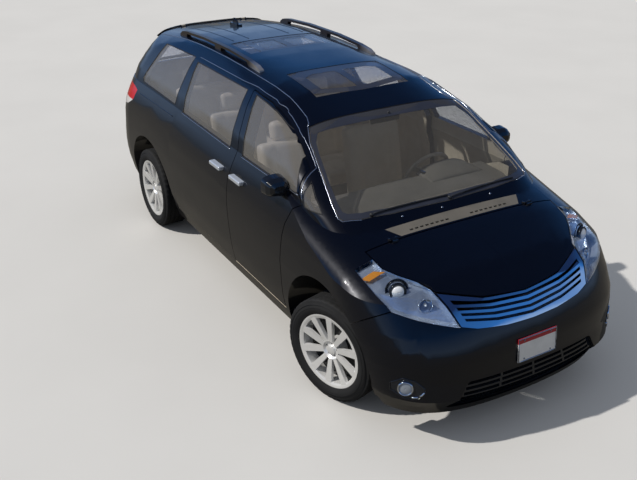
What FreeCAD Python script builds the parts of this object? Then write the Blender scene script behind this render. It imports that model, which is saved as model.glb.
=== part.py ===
import FreeCAD, Part
import math
import os

from FreeCAD import Vector

# A seven-seat minivan, in millimetres.
# The nose points along -Y, the vehicle's left is +X, and up is +Z.
# The origin is on the ground, in the middle of the length and the width.

# Overall sizes
overall_length = 4970.0
wheelbase = 3030.0
front_overhang = 908.5
body_half_width = 985.0
axle_height = 355.0
nose_y = -overall_length / 2
front_axle_y = nose_y + front_overhang
rear_axle_y = front_axle_y + wheelbase

# Body thicknesses and gaps
side_wall = 100.0
pillar_wall = 45.0
roof_wall = 38.0
hood_wall = 32.0
shut_gap = 7.0
seat_gap = 0.3
glass_depth = 3.0
glass_thickness = 5.0

# Body heights
sill_bottom_z = 275.0
floor_bottom_z = 300.0
floor_thickness = 50.0
floor_top_z = floor_bottom_z + floor_thickness
rocker_top_z = 372.0
belt_z = 1240.0

# Wheels
tyre_radius = axle_height
tyre_width = 235.0
rim_radius = 262.0
rim_width = 200.0
wheel_face_x = 965.0
wheel_centre_x = wheel_face_x - rim_width / 2
spoke_count = 10
hub_radius = 68.0
steer_rest_deg = 15.0
kingpin_x = 790.0
running_gap = 0.1

# Wheel arches
arch_radius = 485.0
liner_wall = 12.0
front_liner_x = 455.0
rear_liner_x = 690.0
moving_gap = 6.0


def station(distance):
    """Y of a point that lies this far behind the nose."""
    return nose_y + distance


def bezier(points):
    curve = Part.BezierCurve()
    curve.setPoles(points)
    return curve.toShape()


def outward(solid):
    """The solid with its faces turned to point out of it."""
    if solid.Volume < 0:
        solid.reverse()
    return solid


# Steps between the sections of the body
level_spacing = 95.0
station_spacing = 260.0

# How far the sides of each rounded end run on before they turn, as a share of its depth
end_pull = 1.32


def rounded_end(half, corner_y, tip_y, fullness, z):
    """Rounded end in plan, from -X round the tip to +X; a fuller one has squarer corners."""
    reach = tip_y - corner_y
    side_y = corner_y + end_pull * reach
    front_y = (32 * tip_y - 2 * corner_y - 10 * side_y) / 20
    across = fullness * half
    return bezier([
        Vector(-half, corner_y, z),
        Vector(-half, side_y, z),
        Vector(-across, front_y, z),
        Vector(across, front_y, z),
        Vector(half, side_y, z),
        Vector(half, corner_y, z),
    ])


def side_edge(front_x, front_y, rear_x, rear_y, z):
    third = (rear_y - front_y) / 3
    return bezier([
        Vector(front_x, front_y, z),
        Vector(front_x, front_y + third, z),
        Vector(rear_x, rear_y - third, z),
        Vector(rear_x, rear_y, z),
    ])


def plan_wire(level, inset, z):
    """Closed plan outline of the body at one level, drawn in by the inset."""
    half, tip, nose_depth, nose_fullness, tail, tail_depth, tail_fullness, taper = level
    front_x = half - inset
    rear_x = front_x - taper
    nose_tip = station(tip) + inset
    nose_corner = nose_tip + nose_depth
    tail_tip = station(tail) - inset
    tail_corner = tail_tip - tail_depth
    return Part.Wire([
        rounded_end(front_x, nose_corner, nose_tip, nose_fullness, z),
        side_edge(front_x, nose_corner, rear_x, tail_corner, z),
        rounded_end(-rear_x, tail_corner, tail_tip, tail_fullness, z),
        side_edge(-rear_x, tail_corner, -front_x, nose_corner, z),
    ])


def eased(rows, spacing):
    """Rows of numbers with rows added between them, so that each column runs in a smooth curve.
    The first column says where each row lies."""
    last = len(rows) - 1
    slopes = []
    for i in range(len(rows)):
        before, after = rows[max(i - 1, 0)], rows[min(i + 1, last)]
        run = after[0] - before[0]
        slopes.append([(b - a) / run for a, b in zip(before, after)])
    result = []
    for i in range(last):
        start, end = rows[i], rows[i + 1]
        run = end[0] - start[0]
        steps = max(1, round(run / spacing))
        for step in range(steps):
            t = step / steps
            row = []
            for a, b, slope_a, slope_b in zip(start, end, slopes[i], slopes[i + 1]):
                value = (1 + 2 * t) * (1 - t) ** 2 * a + t * t * (3 - 2 * t) * b
                value += run * t * (1 - t) * ((1 - t) * slope_a - t * slope_b)
                row.append(value)
            result.append(tuple(row))
    return result + [tuple(rows[-1])]


def lofted_body(levels, inset):
    wires = [plan_wire(level[1:], inset, level[0]) for level in eased(levels, level_spacing)]
    return outward(Part.makeLoft(wires, True, True))


# Plan outlines of the lower body.
# Each level: height, half width, nose distance, nose depth, nose fullness,
# tail distance, tail depth, tail fullness, rear taper.
lower_levels = [
    (sill_bottom_z, 915, 55, 600, 0.36, 4890, 500, 0.30, 10),
    (345, 937, 3, 620, 0.36, 4925, 520, 0.30, 8),
    (480, 962, 30, 620, 0.34, 4962, 535, 0.30, 5),
    (640, 976, 44, 620, 0.28, 4968, 540, 0.26, 4),
    (850, 985, 165, 600, 0.14, 4912, 530, 0.14, 5),
    (1040, 968, 330, 560, 0.14, 4898, 520, 0.14, 10),
    (belt_z, 885, 530, 520, 0.14, 4856, 490, 0.14, 20),
]

# Plan outlines of the upper body, in the same order.
upper_levels = [
    (1060, 858, 790, 330, 0.36, 4800, 500, 0.14, 20),
    (belt_z, 881, 1100, 315, 0.36, 4851, 488, 0.14, 20),
    (1440, 785, 1448, 255, 0.36, 4766, 440, 0.14, 28),
    (1605, 668, 1735, 205, 0.36, 4640, 400, 0.14, 30),
    (1780, 470, 2040, 180, 0.36, 4470, 340, 0.14, 30),
]


def space_above(stations, lower_by, top_z):
    """Solid above a crowned surface that is lofted along the body.
    Each station: distance, middle height, then how far out the crown stays level,
    where it turns down, how far that turn rises, the edge's half width and its drop."""
    wires = []
    for row in eased(stations, station_spacing):
        distance, centre_z, level_x, turn_x, turn_rise, edge_x, edge_drop = row
        y = station(distance)
        z = centre_z - lower_by
        right = bezier([
            Vector(-edge_x, y, z - edge_drop),
            Vector(-turn_x, y, z + turn_rise),
            Vector(-level_x, y, z),
            Vector(0, y, z),
        ])
        left = bezier([
            Vector(0, y, z),
            Vector(level_x, y, z),
            Vector(turn_x, y, z + turn_rise),
            Vector(edge_x, y, z - edge_drop),
        ])
        box = Part.makePolygon([
            Vector(edge_x, y, z - edge_drop),
            Vector(edge_x, y, top_z),
            Vector(-edge_x, y, top_z),
            Vector(-edge_x, y, z - edge_drop),
        ])
        wires.append(Part.Wire([right, left] + box.Edges))
    return outward(Part.makeLoft(wires, True, True))


# Hood and fender tops
hood_stations = [
    (-60, 757, 400, 800, -20, 1000, 260),
    (150, 862, 400, 800, -15, 1000, 240),
    (400, 985, 480, 860, -5, 1000, 215),
    (700, 1066, 600, 950, 0, 1000, 200),
    (1000, 1138, 600, 950, 0, 1000, 190),
    (1250, 1196, 600, 940, 5, 1000, 175),
    (1480, 1262, 600, 930, 10, 1000, 160),
]

# Roof
roof_stations = [
    (1350, 1462, 420, 640, 0, 800, 130),
    (1700, 1580, 420, 640, 0, 800, 140),
    (2050, 1672, 420, 620, 5, 800, 180),
    (2500, 1713, 420, 600, 10, 800, 235),
    (3100, 1734, 420, 600, 10, 800, 235),
    (3900, 1712, 420, 600, 10, 800, 235),
    (4800, 1602, 420, 600, 10, 800, 235),
]


def block(x0, x1, y0, y1, z0, z1):
    return Part.makeBox(x1 - x0, y1 - y0, z1 - z0, Vector(x0, y0, z0))


def filled(points):
    return Part.Face(Part.makePolygon(points + [points[0]]))


def side_prism(outline, x0, x1, slant=0.0):
    """Side-view outline of (distance, height), pushed from x0 out to x1.
    The slant moves it back by this much for each millimetre outwards."""
    face = filled([Vector(x0, station(d), z) for d, z in outline])
    return face.extrude(Vector(x1 - x0, slant * (x1 - x0), 0))


def front_prism(outline, d0, d1):
    """Front-view outline of (x, height), pushed from one distance to another."""
    face = filled([Vector(x, station(d0), z) for x, z in outline])
    return face.extrude(Vector(0, d1 - d0, 0))


def plan_prism(outline, z0, z1):
    """Plan outline of (x, distance), pushed up from z0 to z1."""
    face = filled([Vector(x, station(d), z0) for x, d in outline])
    return face.extrude(Vector(0, 0, z1 - z0))


def both_sides(outline):
    """Outline for +X turned into one that is closed over both sides."""
    return outline + [(-x, v) for x, v in reversed(outline) if x]


def mirrored(shape):
    return shape.mirror(Vector(0, 0, 0), Vector(1, 0, 0))


def grown(outline, gap):
    """Flat outline, drawn outwards by the gap, or inwards if it is negative."""
    face = filled([Vector(a, b, 0) for a, b in outline])
    wire = face.OuterWire.makeOffset2D(gap, 2)
    return [(v.X, v.Y) for v in wire.OrderedVertexes]


def largest(shape):
    """The main solid of a result, without slivers."""
    return max(shape.Solids, key=lambda solid: solid.Volume)


def save(name, shape):
    shape.exportStep("parts/" + name + ".step")
    litres = round(shape.Volume / 1e6, 2)
    print(name, "solids", len(shape.Solids), "valid", shape.isValid(), "litres", litres)


os.makedirs("parts", exist_ok=True)


def body_within(levels, stations, inset, roof_inset):
    """A body drawn in by the inset, with its top lowered by the roof inset."""
    return lofted_body(levels, inset).cut(space_above(stations, roof_inset, 2200))


# Outer body and the hollow inside it
lower_outer = body_within(lower_levels, hood_stations, 0, 0)
upper_outer = body_within(upper_levels, roof_stations, 0, 0)
lower_inner = body_within(lower_levels, hood_stations, side_wall, hood_wall)
upper_inner = body_within(upper_levels, roof_stations, pillar_wall, roof_wall)
outer = lower_outer.fuse(upper_outer)
shell = outer.cut(lower_inner).cut(upper_inner)


def arch_cylinder(axle_y, radius, x0, x1):
    return Part.makeCylinder(radius, x1 - x0, Vector(x0, axle_y, axle_height), Vector(1, 0, 0))


def on_both_sides(shape):
    return [shape, mirrored(shape)]


# The wheel arches go right through the side walls
for axle_y in (front_axle_y, rear_axle_y):
    for arch in on_both_sides(arch_cylinder(axle_y, arch_radius, 600, 1100)):
        shell = shell.cut(arch)


def taken(rest, region, tight_region):
    """Piece of the shell in the tight region, and the shell without the whole region."""
    piece = largest(rest.common(tight_region))
    return piece, rest.cut(region)


leaf_length = 22.0


def hinge_pieces(x0, x1, y, z, lid_side):
    """Barrel for the lid, pin with two ears for the body, and the room that the ears and barrel need.
    The lid lies on this side of the pin along Y."""
    along = Vector(1, 0, 0)
    barrel = Part.makeCylinder(7, x1 - x0, Vector(x0, y, z), along)
    leaf_y0, leaf_y1 = sorted((y, y + lid_side * leaf_length))
    barrel = barrel.fuse(block(x0, x1, leaf_y0, leaf_y1, z - 14, z - 1))
    barrel = barrel.cut(Part.makeCylinder(3 + running_gap, x1 - x0, Vector(x0, y, z), along))
    pin = Part.makeCylinder(3, x1 - x0 + 20, Vector(x0 - 10, y, z), along)
    for ear_x in (x0 - 10, x1 + 2):
        ear_y0, ear_y1 = sorted((y, y - lid_side * leaf_length))
        ear = block(ear_x, ear_x + 8, ear_y0, ear_y1, z - 14, z + 3)
        pin = pin.fuse(ear).fuse(Part.makeCylinder(7, 8, Vector(ear_x, y, z), along))
    room = block(x0 - 15, x1 + 15, y - 12, y + 12, z - 40, z + 20)
    return barrel, pin, room


# Windshield
windshield_outline = both_sides([(0, 946), (420, 962), (640, 994), (750, 1034), (766, 1066), (757, 1141),
                                 (725, 1300), (684, 1487), (664, 1583), (612, 1696), (300, 1692)])
windshield_opening = plan_prism(windshield_outline, 1100, 1660)
shell = shell.cut(windshield_opening)

# Hood: its side line runs forward and inward over the headlamps
hood_outline = both_sides([(0, 778), (757, 778), (752, 690), (742, 612), (690, 528), (570, 372), (560, -60)])
hood_front_edge = [(-900, 1000), (-570, 935), (-553, 927), (-300, 884), (0, 865), (300, 884), (553, 927),
                   (570, 935), (900, 1000), (900, 1300), (-900, 1300)]
hood_gap = 8.5
hood_region = plan_prism(hood_outline, 700, 1300).common(front_prism(hood_front_edge, -60, 900))
hood_tight = plan_prism(grown(hood_outline, -hood_gap), 700, 1300)
hood_tight = hood_tight.common(front_prism([(x, z + shut_gap) for x, z in hood_front_edge], -60, 900))
hood, shell = taken(shell, hood_region, hood_tight)

# The hood's inner frame stands back from its skin's edges
skin_depth = 10.0
frame_edge = plan_prism(grown(hood_outline, 60), 600, 1300)
frame_edge = frame_edge.cut(plan_prism(grown(hood_outline, -hood_gap - 12), 500, 1400))
frame_edge = frame_edge.cut(space_above(hood_stations, skin_depth, 2200))
frame_edge = frame_edge.common(block(-1000, 1000, station(300), station(1000), 700, 1300))
hood = largest(hood.cut(frame_edge))
hood_axis_y = station(776)
hood_axis_z = 1086.0
cowl_pins = []
for x0 in (-565, 525):
    barrel, pin, room = hinge_pieces(x0, x0 + 40, hood_axis_y, hood_axis_z, -1)
    hood = hood.cut(room).fuse(barrel)
    cowl_pins.append((pin, room))
save("hood", largest(hood))

# Grille opening, between the headlamps
grille_outline = both_sides([(0, 865), (300, 884), (553, 927), (496, 776), (400, 752), (200, 731), (0, 725)])
grille_region = front_prism(grille_outline, -60, 420)

# Headlamps
headlamp_outline = [(574, 942), (705, 1022), (800, 1046), (866, 1056), (880, 1010), (862, 920),
                    (836, 866), (720, 828), (600, 796), (505, 773)]
headlamp_region = front_prism(headlamp_outline, -60, 700)
headlamp_tight = front_prism(grown(headlamp_outline, -seat_gap), -60, 700)
lamp_back = body_within(lower_levels, hood_stations, 55, 30)
headlamp, shell = taken(shell, headlamp_region, headlamp_tight)
headlamp = largest(headlamp.cut(lamp_back))
shell = shell.cut(mirrored(headlamp_region))
save("headlamps", Part.makeCompound(on_both_sides(headlamp)))

# Grille: a chrome surround with bars, on a dark core
grille_layer = shell.common(grille_region)
shell = shell.cut(grille_region)
grille_back = body_within(lower_levels, hood_stations, 34, 34)
core_back = body_within(lower_levels, hood_stations, 70, 60)
grille_tight = front_prism(grown(grille_outline, -seat_gap), -60, 420)
grille = grille_layer.common(grille_tight).cut(grille_back)
core_face = body_within(lower_levels, hood_stations, 34 + seat_gap, 34 + seat_gap)
grille_core = grille_layer.common(grille_tight).common(core_face).cut(core_back)
slot_rows = 4
slot_half_height = 7.5
for row in range(slot_rows):
    share = row / (slot_rows - 1)
    centre_z = 756 + share * 90
    edge_z = 804 + share * 88
    half_width = 458 + share * 42
    slot = both_sides([
        (0, centre_z - slot_half_height),
        (half_width * 0.55, centre_z - slot_half_height + (edge_z - centre_z) * 0.36),
        (half_width, edge_z - slot_half_height),
        (half_width + 6, edge_z + slot_half_height),
        (half_width * 0.55, centre_z + slot_half_height + (edge_z - centre_z) * 0.36),
        (0, centre_z + slot_half_height),
    ])
    grille = grille.cut(front_prism(slot, -60, 420))
save("grille", largest(grille))
save("grille_core", largest(grille_core))

# Front bumper, with openings for the lower grille and the fog lamps
bumper_side = [(-100, 190), (760, 190), (700, 640), (612, 706), (380, 868), (330, 1010), (-100, 1010)]
bumper_region = side_prism(bumper_side, -1100, 1100)
bumper_tight = side_prism(grown(bumper_side, -shut_gap), -1100, 1100)
front_bumper, shell = taken(shell, bumper_region, bumper_tight)
lip_bottom_z = 208.0
lip_levels = [
    (lip_bottom_z, 885, 82, 600, 0.36, 4890, 500, 0.30, 10),
    (sill_bottom_z, 915, 55, 600, 0.36, 4890, 500, 0.30, 10),
]
lip = lofted_body(lip_levels, 0).cut(lofted_body(lip_levels, side_wall))
lip = lip.common(side_prism([(-60, 190), (395, 190), (412, 300), (-60, 300)], -1100, 1100))
front_bumper = front_bumper.fuse(lip)
lower_grille_outline = both_sides([(0, 452), (478, 450), (500, 436), (590, 272), (576, 258), (0, 250)])
front_bumper = front_bumper.cut(front_prism(lower_grille_outline, -60, 500))
fog_outline = [(738, 432), (786, 482), (836, 496), (880, 448), (876, 404), (826, 366), (768, 374)]
fog_region = front_prism(fog_outline, -60, 560)
fog_tight = front_prism(grown(fog_outline, -seat_gap), -60, 560)
fog_lamp = front_bumper.common(fog_tight).cut(lofted_body(lower_levels, 40))
fog_lamp = largest(fog_lamp.cut(arch_cylinder(front_axle_y, arch_radius + 17, 430, 885)))
for opening in on_both_sides(fog_region):
    front_bumper = front_bumper.cut(opening)
save("fog_lamps", Part.makeCompound(on_both_sides(fog_lamp)))
for room in on_both_sides(arch_cylinder(front_axle_y, arch_radius + 17, 430, 885)):
    front_bumper = front_bumper.cut(room)
save("front_bumper", largest(front_bumper))

# Lower grille: level bars with a few upright ribs
grille_front = lofted_body(lower_levels, 22).fuse(lofted_body(lip_levels, 22))
grille_rear = lofted_body(lower_levels, 60).fuse(lofted_body(lip_levels, 60))
lower_tight = front_prism(grown(lower_grille_outline, -seat_gap), -60, 500)
lower_grille = grille_front.common(lower_tight).cut(grille_rear)
for row in range(6):
    slot_z = 259 + 31 * row
    reach = 556 - 14 * row
    rib_step = 2 * reach / 4
    for column in range(4):
        x0 = -reach + column * rib_step
        slot = block(x0 + 8, x0 + rib_step - 8, nose_y - 60, nose_y + 500, slot_z, slot_z + 19)
        lower_grille = lower_grille.cut(slot)
save("lower_grille", largest(lower_grille))

# Front doors. The outline is drawn at the widest part of the body, and its edges slant inwards
# and forwards from there, so that the door swings clear of the sliding door behind it.
door_slant = 0.28
door_x = body_half_width
door_outline = [(1455, 372), (1440, 750), (1402, 1000), (1362, 1200), (1477, 1356), (1616, 1431),
                (1707, 1478), (1812, 1515), (1953, 1554), (2091, 1587), (2212, 1605), (2506, 1621),
                (2290, 1240), (2268, 950), (2255, 372)]
slide_outline = [(2255, 372), (2268, 950), (2290, 1240), (2506, 1621), (3540, 1612), (3556, 1600),
                 (3426, 1240), (3398, 850), (3395, 372)]
door_glass_outline = [(1383, 1237), (1452, 1330), (1526, 1413), (1615, 1462), (1705, 1499), (1796, 1523),
                      (1912, 1552), (2017, 1576), (2165, 1589), (2334, 1599), (2170, 1233)]
slide_glass_outline = [(2378, 1231), (2490, 1601), (3418, 1592), (3296, 1240)]
quarter_glass_outline = [(3485, 1255), (3513, 1612), (4126, 1594), (4265, 1283), (4240, 1262)]
vent_glass_outline = [(1150, 1170), (1200, 1208), (1322, 1288), (1344, 1302), (1334, 1262), (1292, 1176)]
door_inner_x = 606.5
door_outer_x = 1100.0


def slanted_prism(outline, inner_x):
    """The region of a door, with its outline true at the widest part of the body."""
    start = door_slant * (door_x - inner_x)
    return side_prism([(d - start, z) for d, z in outline], inner_x, door_outer_x, door_slant)


door_region = slanted_prism(door_outline, door_inner_x)
door_tight = slanted_prism(grown(door_outline, -shut_gap), door_inner_x + moving_gap)
slide_region = slanted_prism(slide_outline, door_inner_x)
slide_tight = slanted_prism(grown(slide_outline, -seat_gap), door_inner_x)


def window(outline, gap=0.0):
    return side_prism(grown(outline, -gap) if gap else outline, 450, 1100)


glass_outer = body_within(upper_levels, roof_stations, glass_depth, glass_depth)
glass_inner = body_within(upper_levels, roof_stations, glass_depth + glass_thickness,
                          glass_depth + glass_thickness)
glass_layer = glass_outer.cut(glass_inner)

# Room that the doors and the gap behind them take, which the pillars stay out of
door_layer = outer.cut(body_within(lower_levels, hood_stations, side_wall + moving_gap, hood_wall))
door_layer = door_layer.cut(body_within(upper_levels, roof_stations, pillar_wall + moving_gap, roof_wall))
door_room = door_layer.common(door_region.fuse(slide_region))

front_door, shell = taken(shell, door_region, door_tight)
front_door = largest(front_door.cut(window(door_glass_outline)))
sliding_door, shell = taken(shell, slide_region, slide_tight)
sliding_door = largest(sliding_door.cut(window(slide_glass_outline)))
door_glass = largest(glass_layer.common(window(door_glass_outline, seat_gap)))
panes = []
for outline in (slide_glass_outline, quarter_glass_outline, vent_glass_outline):
    panes.append(largest(glass_layer.common(window(outline, seat_gap))))
for outline in (quarter_glass_outline, vent_glass_outline):
    shell = shell.cut(window(outline))


def save_pair(name, shape):
    save(name + "_left", shape)
    save(name + "_right", mirrored(shape))


save_pair("front_door", front_door)
save("sliding_doors", Part.makeCompound(on_both_sides(sliding_door)))
save_pair("front_door_glass", door_glass)
save("side_glass", Part.makeCompound(panes + [mirrored(pane) for pane in panes]))

# Tailgate
tailgate_front = 4562.0
tailgate_half = 655.0
tailgate_bottom_z = 655.0
tailgate_gap = 8.0
tailgate_region = block(-tailgate_half, tailgate_half, station(tailgate_front), station(5200),
                        tailgate_bottom_z, 2000)
tailgate_tight = block(-tailgate_half + tailgate_gap, tailgate_half - tailgate_gap,
                       station(tailgate_front) + tailgate_gap, station(5200),
                       tailgate_bottom_z + tailgate_gap, 2000)
tailgate, shell = taken(shell, tailgate_region, tailgate_tight)
rear_window_outline = both_sides([(0, 1572), (330, 1566), (430, 1548), (560, 1330), (572, 1290),
                                  (540, 1272), (0, 1262)])
tailgate = largest(tailgate.cut(front_prism(rear_window_outline, 4590, 5200)))
rear_window = front_prism(grown(rear_window_outline, -seat_gap), 4590, 5200)
save("rear_glass", largest(glass_layer.common(rear_window)))

tailgate_axis_y = station(tailgate_front)
tailgate_axis_z = 1640.0
roof_pins = []
for x0 in (-330, 290):
    barrel, pin, room = hinge_pieces(x0, x0 + 40, tailgate_axis_y, tailgate_axis_z, 1)
    tailgate = tailgate.cut(room).fuse(barrel)
    roof_pins.append((pin, room))
save("tailgate", largest(tailgate))

# Tail lamps on the rear corners
tail_lamp_outline = [(4302, 1174), (4400, 1194), (4520, 1200), (5000, 1192), (5000, 985), (4600, 992),
                     (4420, 1030), (4330, 1084)]
tail_region = side_prism(tail_lamp_outline, tailgate_half, 1100)
tail_tight = side_prism(grown(tail_lamp_outline, -seat_gap), tailgate_half, 1100)
tail_lamp, shell = taken(shell, tail_region, tail_tight)
tail_lamp = largest(tail_lamp.cut(lofted_body(lower_levels, 50)))
save("tail_lamps", Part.makeCompound(on_both_sides(tail_lamp)))

# Rear bumper
rear_bumper_side = [(4200, 200), (4340, 560), (4460, 606), (4700, 655), (5200, 655), (5200, 200)]
bumper_region = side_prism(rear_bumper_side, -1100, 1100)
bumper_tight = side_prism(grown(rear_bumper_side, -seat_gap), -1100, 1100)
rear_bumper, shell = taken(shell, bumper_region, bumper_tight)
for room in on_both_sides(arch_cylinder(rear_axle_y, arch_radius + 17, 660, 885)):
    rear_bumper = rear_bumper.cut(room)
save("rear_bumper", largest(rear_bumper))

# Roof with its glass panels
roof_outline = both_sides([(0, 1690), (300, 1692), (606, 1700), (584, 1726), (560, 1790), (546, 1960),
                           (538, 2300), (538, 4562)])
roof_region = plan_prism(roof_outline, 1500, 1900)
roof_tight = plan_prism(grown(roof_outline, -seat_gap), 1500, 1900)
roof_panel, shell = taken(shell, roof_region, roof_tight)
roof_glass_outlines = [
    both_sides([(0, 1945), (393, 1960), (393, 2396), (0, 2406)]),
    both_sides([(0, 2975), (388, 2980), (388, 3350), (0, 3360)]),
]
roof_panes = []
for outline in roof_glass_outlines:
    roof_panel = roof_panel.cut(plan_prism(outline, 1500, 1900))
    pane = glass_layer.common(plan_prism(grown(outline, -seat_gap), 1500, 1900))
    roof_panes.append(largest(pane))
for pin, room in roof_pins:
    roof_panel = roof_panel.cut(room).fuse(pin)
save("roof_panel", largest(roof_panel))
save("roof_glass", Part.makeCompound(roof_panes))
windshield = glass_layer.common(plan_prism(grown(windshield_outline, -seat_gap), 1100, 1660))
save("windshield", largest(windshield))

# Cowl, with a slotted vent panel in front of the windshield
cowl_outline = both_sides([(0, 778), (757, 778), (764, 900), (768, 1070), (750, 1034), (640, 994),
                           (420, 962), (0, 946)])
cowl_region = plan_prism(cowl_outline, 960, 1300)
cowl_tight = plan_prism(grown(cowl_outline, -seat_gap), 960, 1300)
cowl_panel, shell = taken(shell, cowl_region, cowl_tight)
vent_outline = both_sides([(0, 790), (478, 790), (538, 884), (0, 884)])
cowl_vent = cowl_panel.common(plan_prism(grown(vent_outline, -seat_gap), 960, 1300))
cowl_panel = cowl_panel.cut(plan_prism(vent_outline, 960, 1300))
vent_slots = 8
for side in (-1, 1):
    for slot in range(vent_slots):
        x = side * (100 + 40 * slot)
        cowl_vent = cowl_vent.cut(block(x - 14, x + 14, station(812), station(826), 960, 1300))
for pin, room in cowl_pins:
    cowl_panel = cowl_panel.cut(room).fuse(pin)
save("cowl_panel", largest(cowl_panel))
save("cowl_vent", largest(cowl_vent))

# Fenders with their wheel-arch liners
fender_outline = [(200, 378), (1470, 378), (1480, 750), (1420, 1000), (1372, 1190), (1330, 1215),
                  (1330, 1300), (200, 1300)]
fender_region = side_prism(fender_outline, 0, 1100)
fender_tight = side_prism(grown(fender_outline, -seat_gap), 0, 1100)
upper_clear = lofted_body(upper_levels, -seat_gap)


def liner(axle_y, inner_x):
    outer_drum = arch_cylinder(axle_y, arch_radius + liner_wall, inner_x - liner_wall, 880)
    inner_drum = arch_cylinder(axle_y, arch_radius, inner_x, 1100)
    drum = outer_drum.cut(inner_drum)
    return drum.common(block(0, 1100, axle_y - 600, axle_y + 600, 380, 1000))


hinge_pillar_side = [(1412, 350.3), (1466, 350.3), (1466, 1000), (1420, 1105), (1288, 1160), (1190, 1160),
                     (1190, 900), (1222, 760), (1285, 700), (1352, 600), (1396, 500), (1412, 400)]
pillar_head_side = [(1190, 1010), (1283, 1010), (1283, 1160), (1190, 1160)]
pillar_foot_side = [(1412, 352), (1466, 352), (1466, 368), (1412, 368)]


def hinge_pillar(gap):
    """Front pillar below the windshield, with its head and foot, drawn larger by the gap."""
    shape = None
    for outline, outer_x in ((hinge_pillar_side, 810), (pillar_head_side, 866), (pillar_foot_side, 900)):
        edge = grown(outline, gap) if gap else outline
        piece = side_prism(edge, 742 - gap, outer_x + gap)
        shape = shape.fuse(piece) if shape else piece
    return shape


front_liner = liner(front_axle_y, front_liner_x)
axle_gap = block(300, 700, front_axle_y - 150, front_axle_y + 150, 300, 510)
front_liner = front_liner.cut(axle_gap)
rear_liner = liner(rear_axle_y, rear_liner_x)
rear_liner = rear_liner.cut(arch_cylinder(rear_axle_y, 90, 600, 800))
fender = largest(shell.common(fender_tight).cut(upper_clear).cut(hinge_pillar(seat_gap)))
shell = shell.cut(fender_region.cut(lofted_body(upper_levels, 0)))
save("fenders", Part.makeCompound(on_both_sides(largest(fender.fuse(front_liner)))))

# Side frames: what is left of the shell, with the hinge pillars, centre pillars and rear liners
centre_pillar = front_prism([(860, 300), (860, 366), (834, 380), (862, 600), (874, 850), (858, 1010),
                             (836, 1110), (822, 1170), (822, 1240), (788, 1330), (727, 1440), (664, 1540),
                             (620, 1604), (606, 1634), (570, 1640), (566, 1604), (630, 1500), (750, 1300),
                             (780, 1200), (780, 1100), (820, 1000), (836, 850), (824, 600), (796, 380),
                             (796, 300)], 2150, 2500)
centre_pillar = centre_pillar.common(side_prism([(2190, 300), (2330, 300), (2320, 1242), (2470, 1600),
                                                 (2470, 1680), (2345, 1680), (2345, 1600), (2200, 1242)],
                                                450, 1100))
centre_pillar = centre_pillar.cut(door_room)
half = block(0, 1200, nose_y - 50, station(5200), 200, 2000)
side_frame = shell.common(half)
for part in (centre_pillar, hinge_pillar(0).cut(door_room), rear_liner):
    side_frame = side_frame.fuse(part)
save_pair("side_frame", largest(side_frame))


def ring_about_x(profile, x, y, z):
    """Profile of (x, radius) turned about an axis along X."""
    face = filled([Vector(x + a, y, z + radius) for a, radius in profile])
    return face.revolve(Vector(x, y, z), Vector(1, 0, 0), 360)


# Wheels: the tyre's bead sits between the rim's flanges
flange_radius = rim_radius
bead_radius = 238.0
rim_half = rim_width / 2
tyre_half = tyre_width / 2
bead_x = rim_half - 6 - seat_gap
tyre_profile = [(-bead_x, bead_radius + seat_gap), (bead_x, bead_radius + seat_gap),
                (bead_x, flange_radius + 2), (tyre_half, 305), (tyre_half - 16, tyre_radius),
                (16 - tyre_half, tyre_radius), (-tyre_half, 305), (-bead_x, flange_radius + 2)]
rim_profile = [(-rim_half, flange_radius), (-rim_half, 226), (rim_half - 8, 226), (rim_half, 246),
               (rim_half, flange_radius), (rim_half - 6, flange_radius), (rim_half - 6, bead_radius),
               (6 - rim_half, bead_radius), (6 - rim_half, flange_radius)]
disc_radius = 160.0
bore_radius = 34.0
lug_count = 5
lug_circle_radius = 57.0


def wheel(axle_y):
    """Tyre and rim of a wheel on +X that points straight ahead."""
    x, z = wheel_centre_x, axle_height
    tyre = ring_about_x(tyre_profile, x, axle_y, z)
    rim = ring_about_x(rim_profile, x, axle_y, z)
    hub = Part.makeCylinder(hub_radius, 118, Vector(x - 40, axle_y, z), Vector(1, 0, 0))
    disc = Part.makeCylinder(disc_radius, 24, Vector(x - 40, axle_y, z), Vector(1, 0, 0))
    rim = rim.fuse(hub).fuse(disc)
    for index in range(spoke_count):
        spoke = filled([
            Vector(x + 52, axle_y - 15, z + 50), Vector(x + 52, axle_y + 15, z + 50),
            Vector(x + 72, axle_y + 25, z + 234), Vector(x + 72, axle_y - 25, z + 234),
        ])
        spoke = spoke.extrude(Vector(24, 0, 0))
        spoke.rotate(Vector(x, axle_y, z), Vector(1, 0, 0), 360 / spoke_count * index)
        rim = rim.fuse(spoke)
    dish = Part.makeCone(hub_radius - 6, hub_radius - 18, 14, Vector(x + 78, axle_y, z), Vector(-1, 0, 0))
    rim = rim.cut(dish)
    cap = Part.makeCylinder(30, 16, Vector(x + 60, axle_y, z), Vector(1, 0, 0))
    rim = rim.fuse(cap)
    for index in range(lug_count):
        angle = 2 * math.pi * index / lug_count
        y = axle_y + lug_circle_radius * math.sin(angle) * 0.78
        height = z + lug_circle_radius * math.cos(angle) * 0.78
        rim = rim.cut(Part.makeCylinder(8, 14, Vector(x + 52, y, height), Vector(1, 0, 0)))
    bore = Part.makeCylinder(bore_radius, 41, Vector(x - 41, axle_y, z), Vector(1, 0, 0))
    return tyre, largest(rim.cut(bore))


def steered(shape, side):
    """Turned about its kingpin to the rest angle; side is 1 for the left wheel, -1 for the right."""
    turned = shape.copy()
    turned.rotate(Vector(side * kingpin_x, front_axle_y, 0), Vector(0, 0, 1), steer_rest_deg)
    return turned


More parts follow.
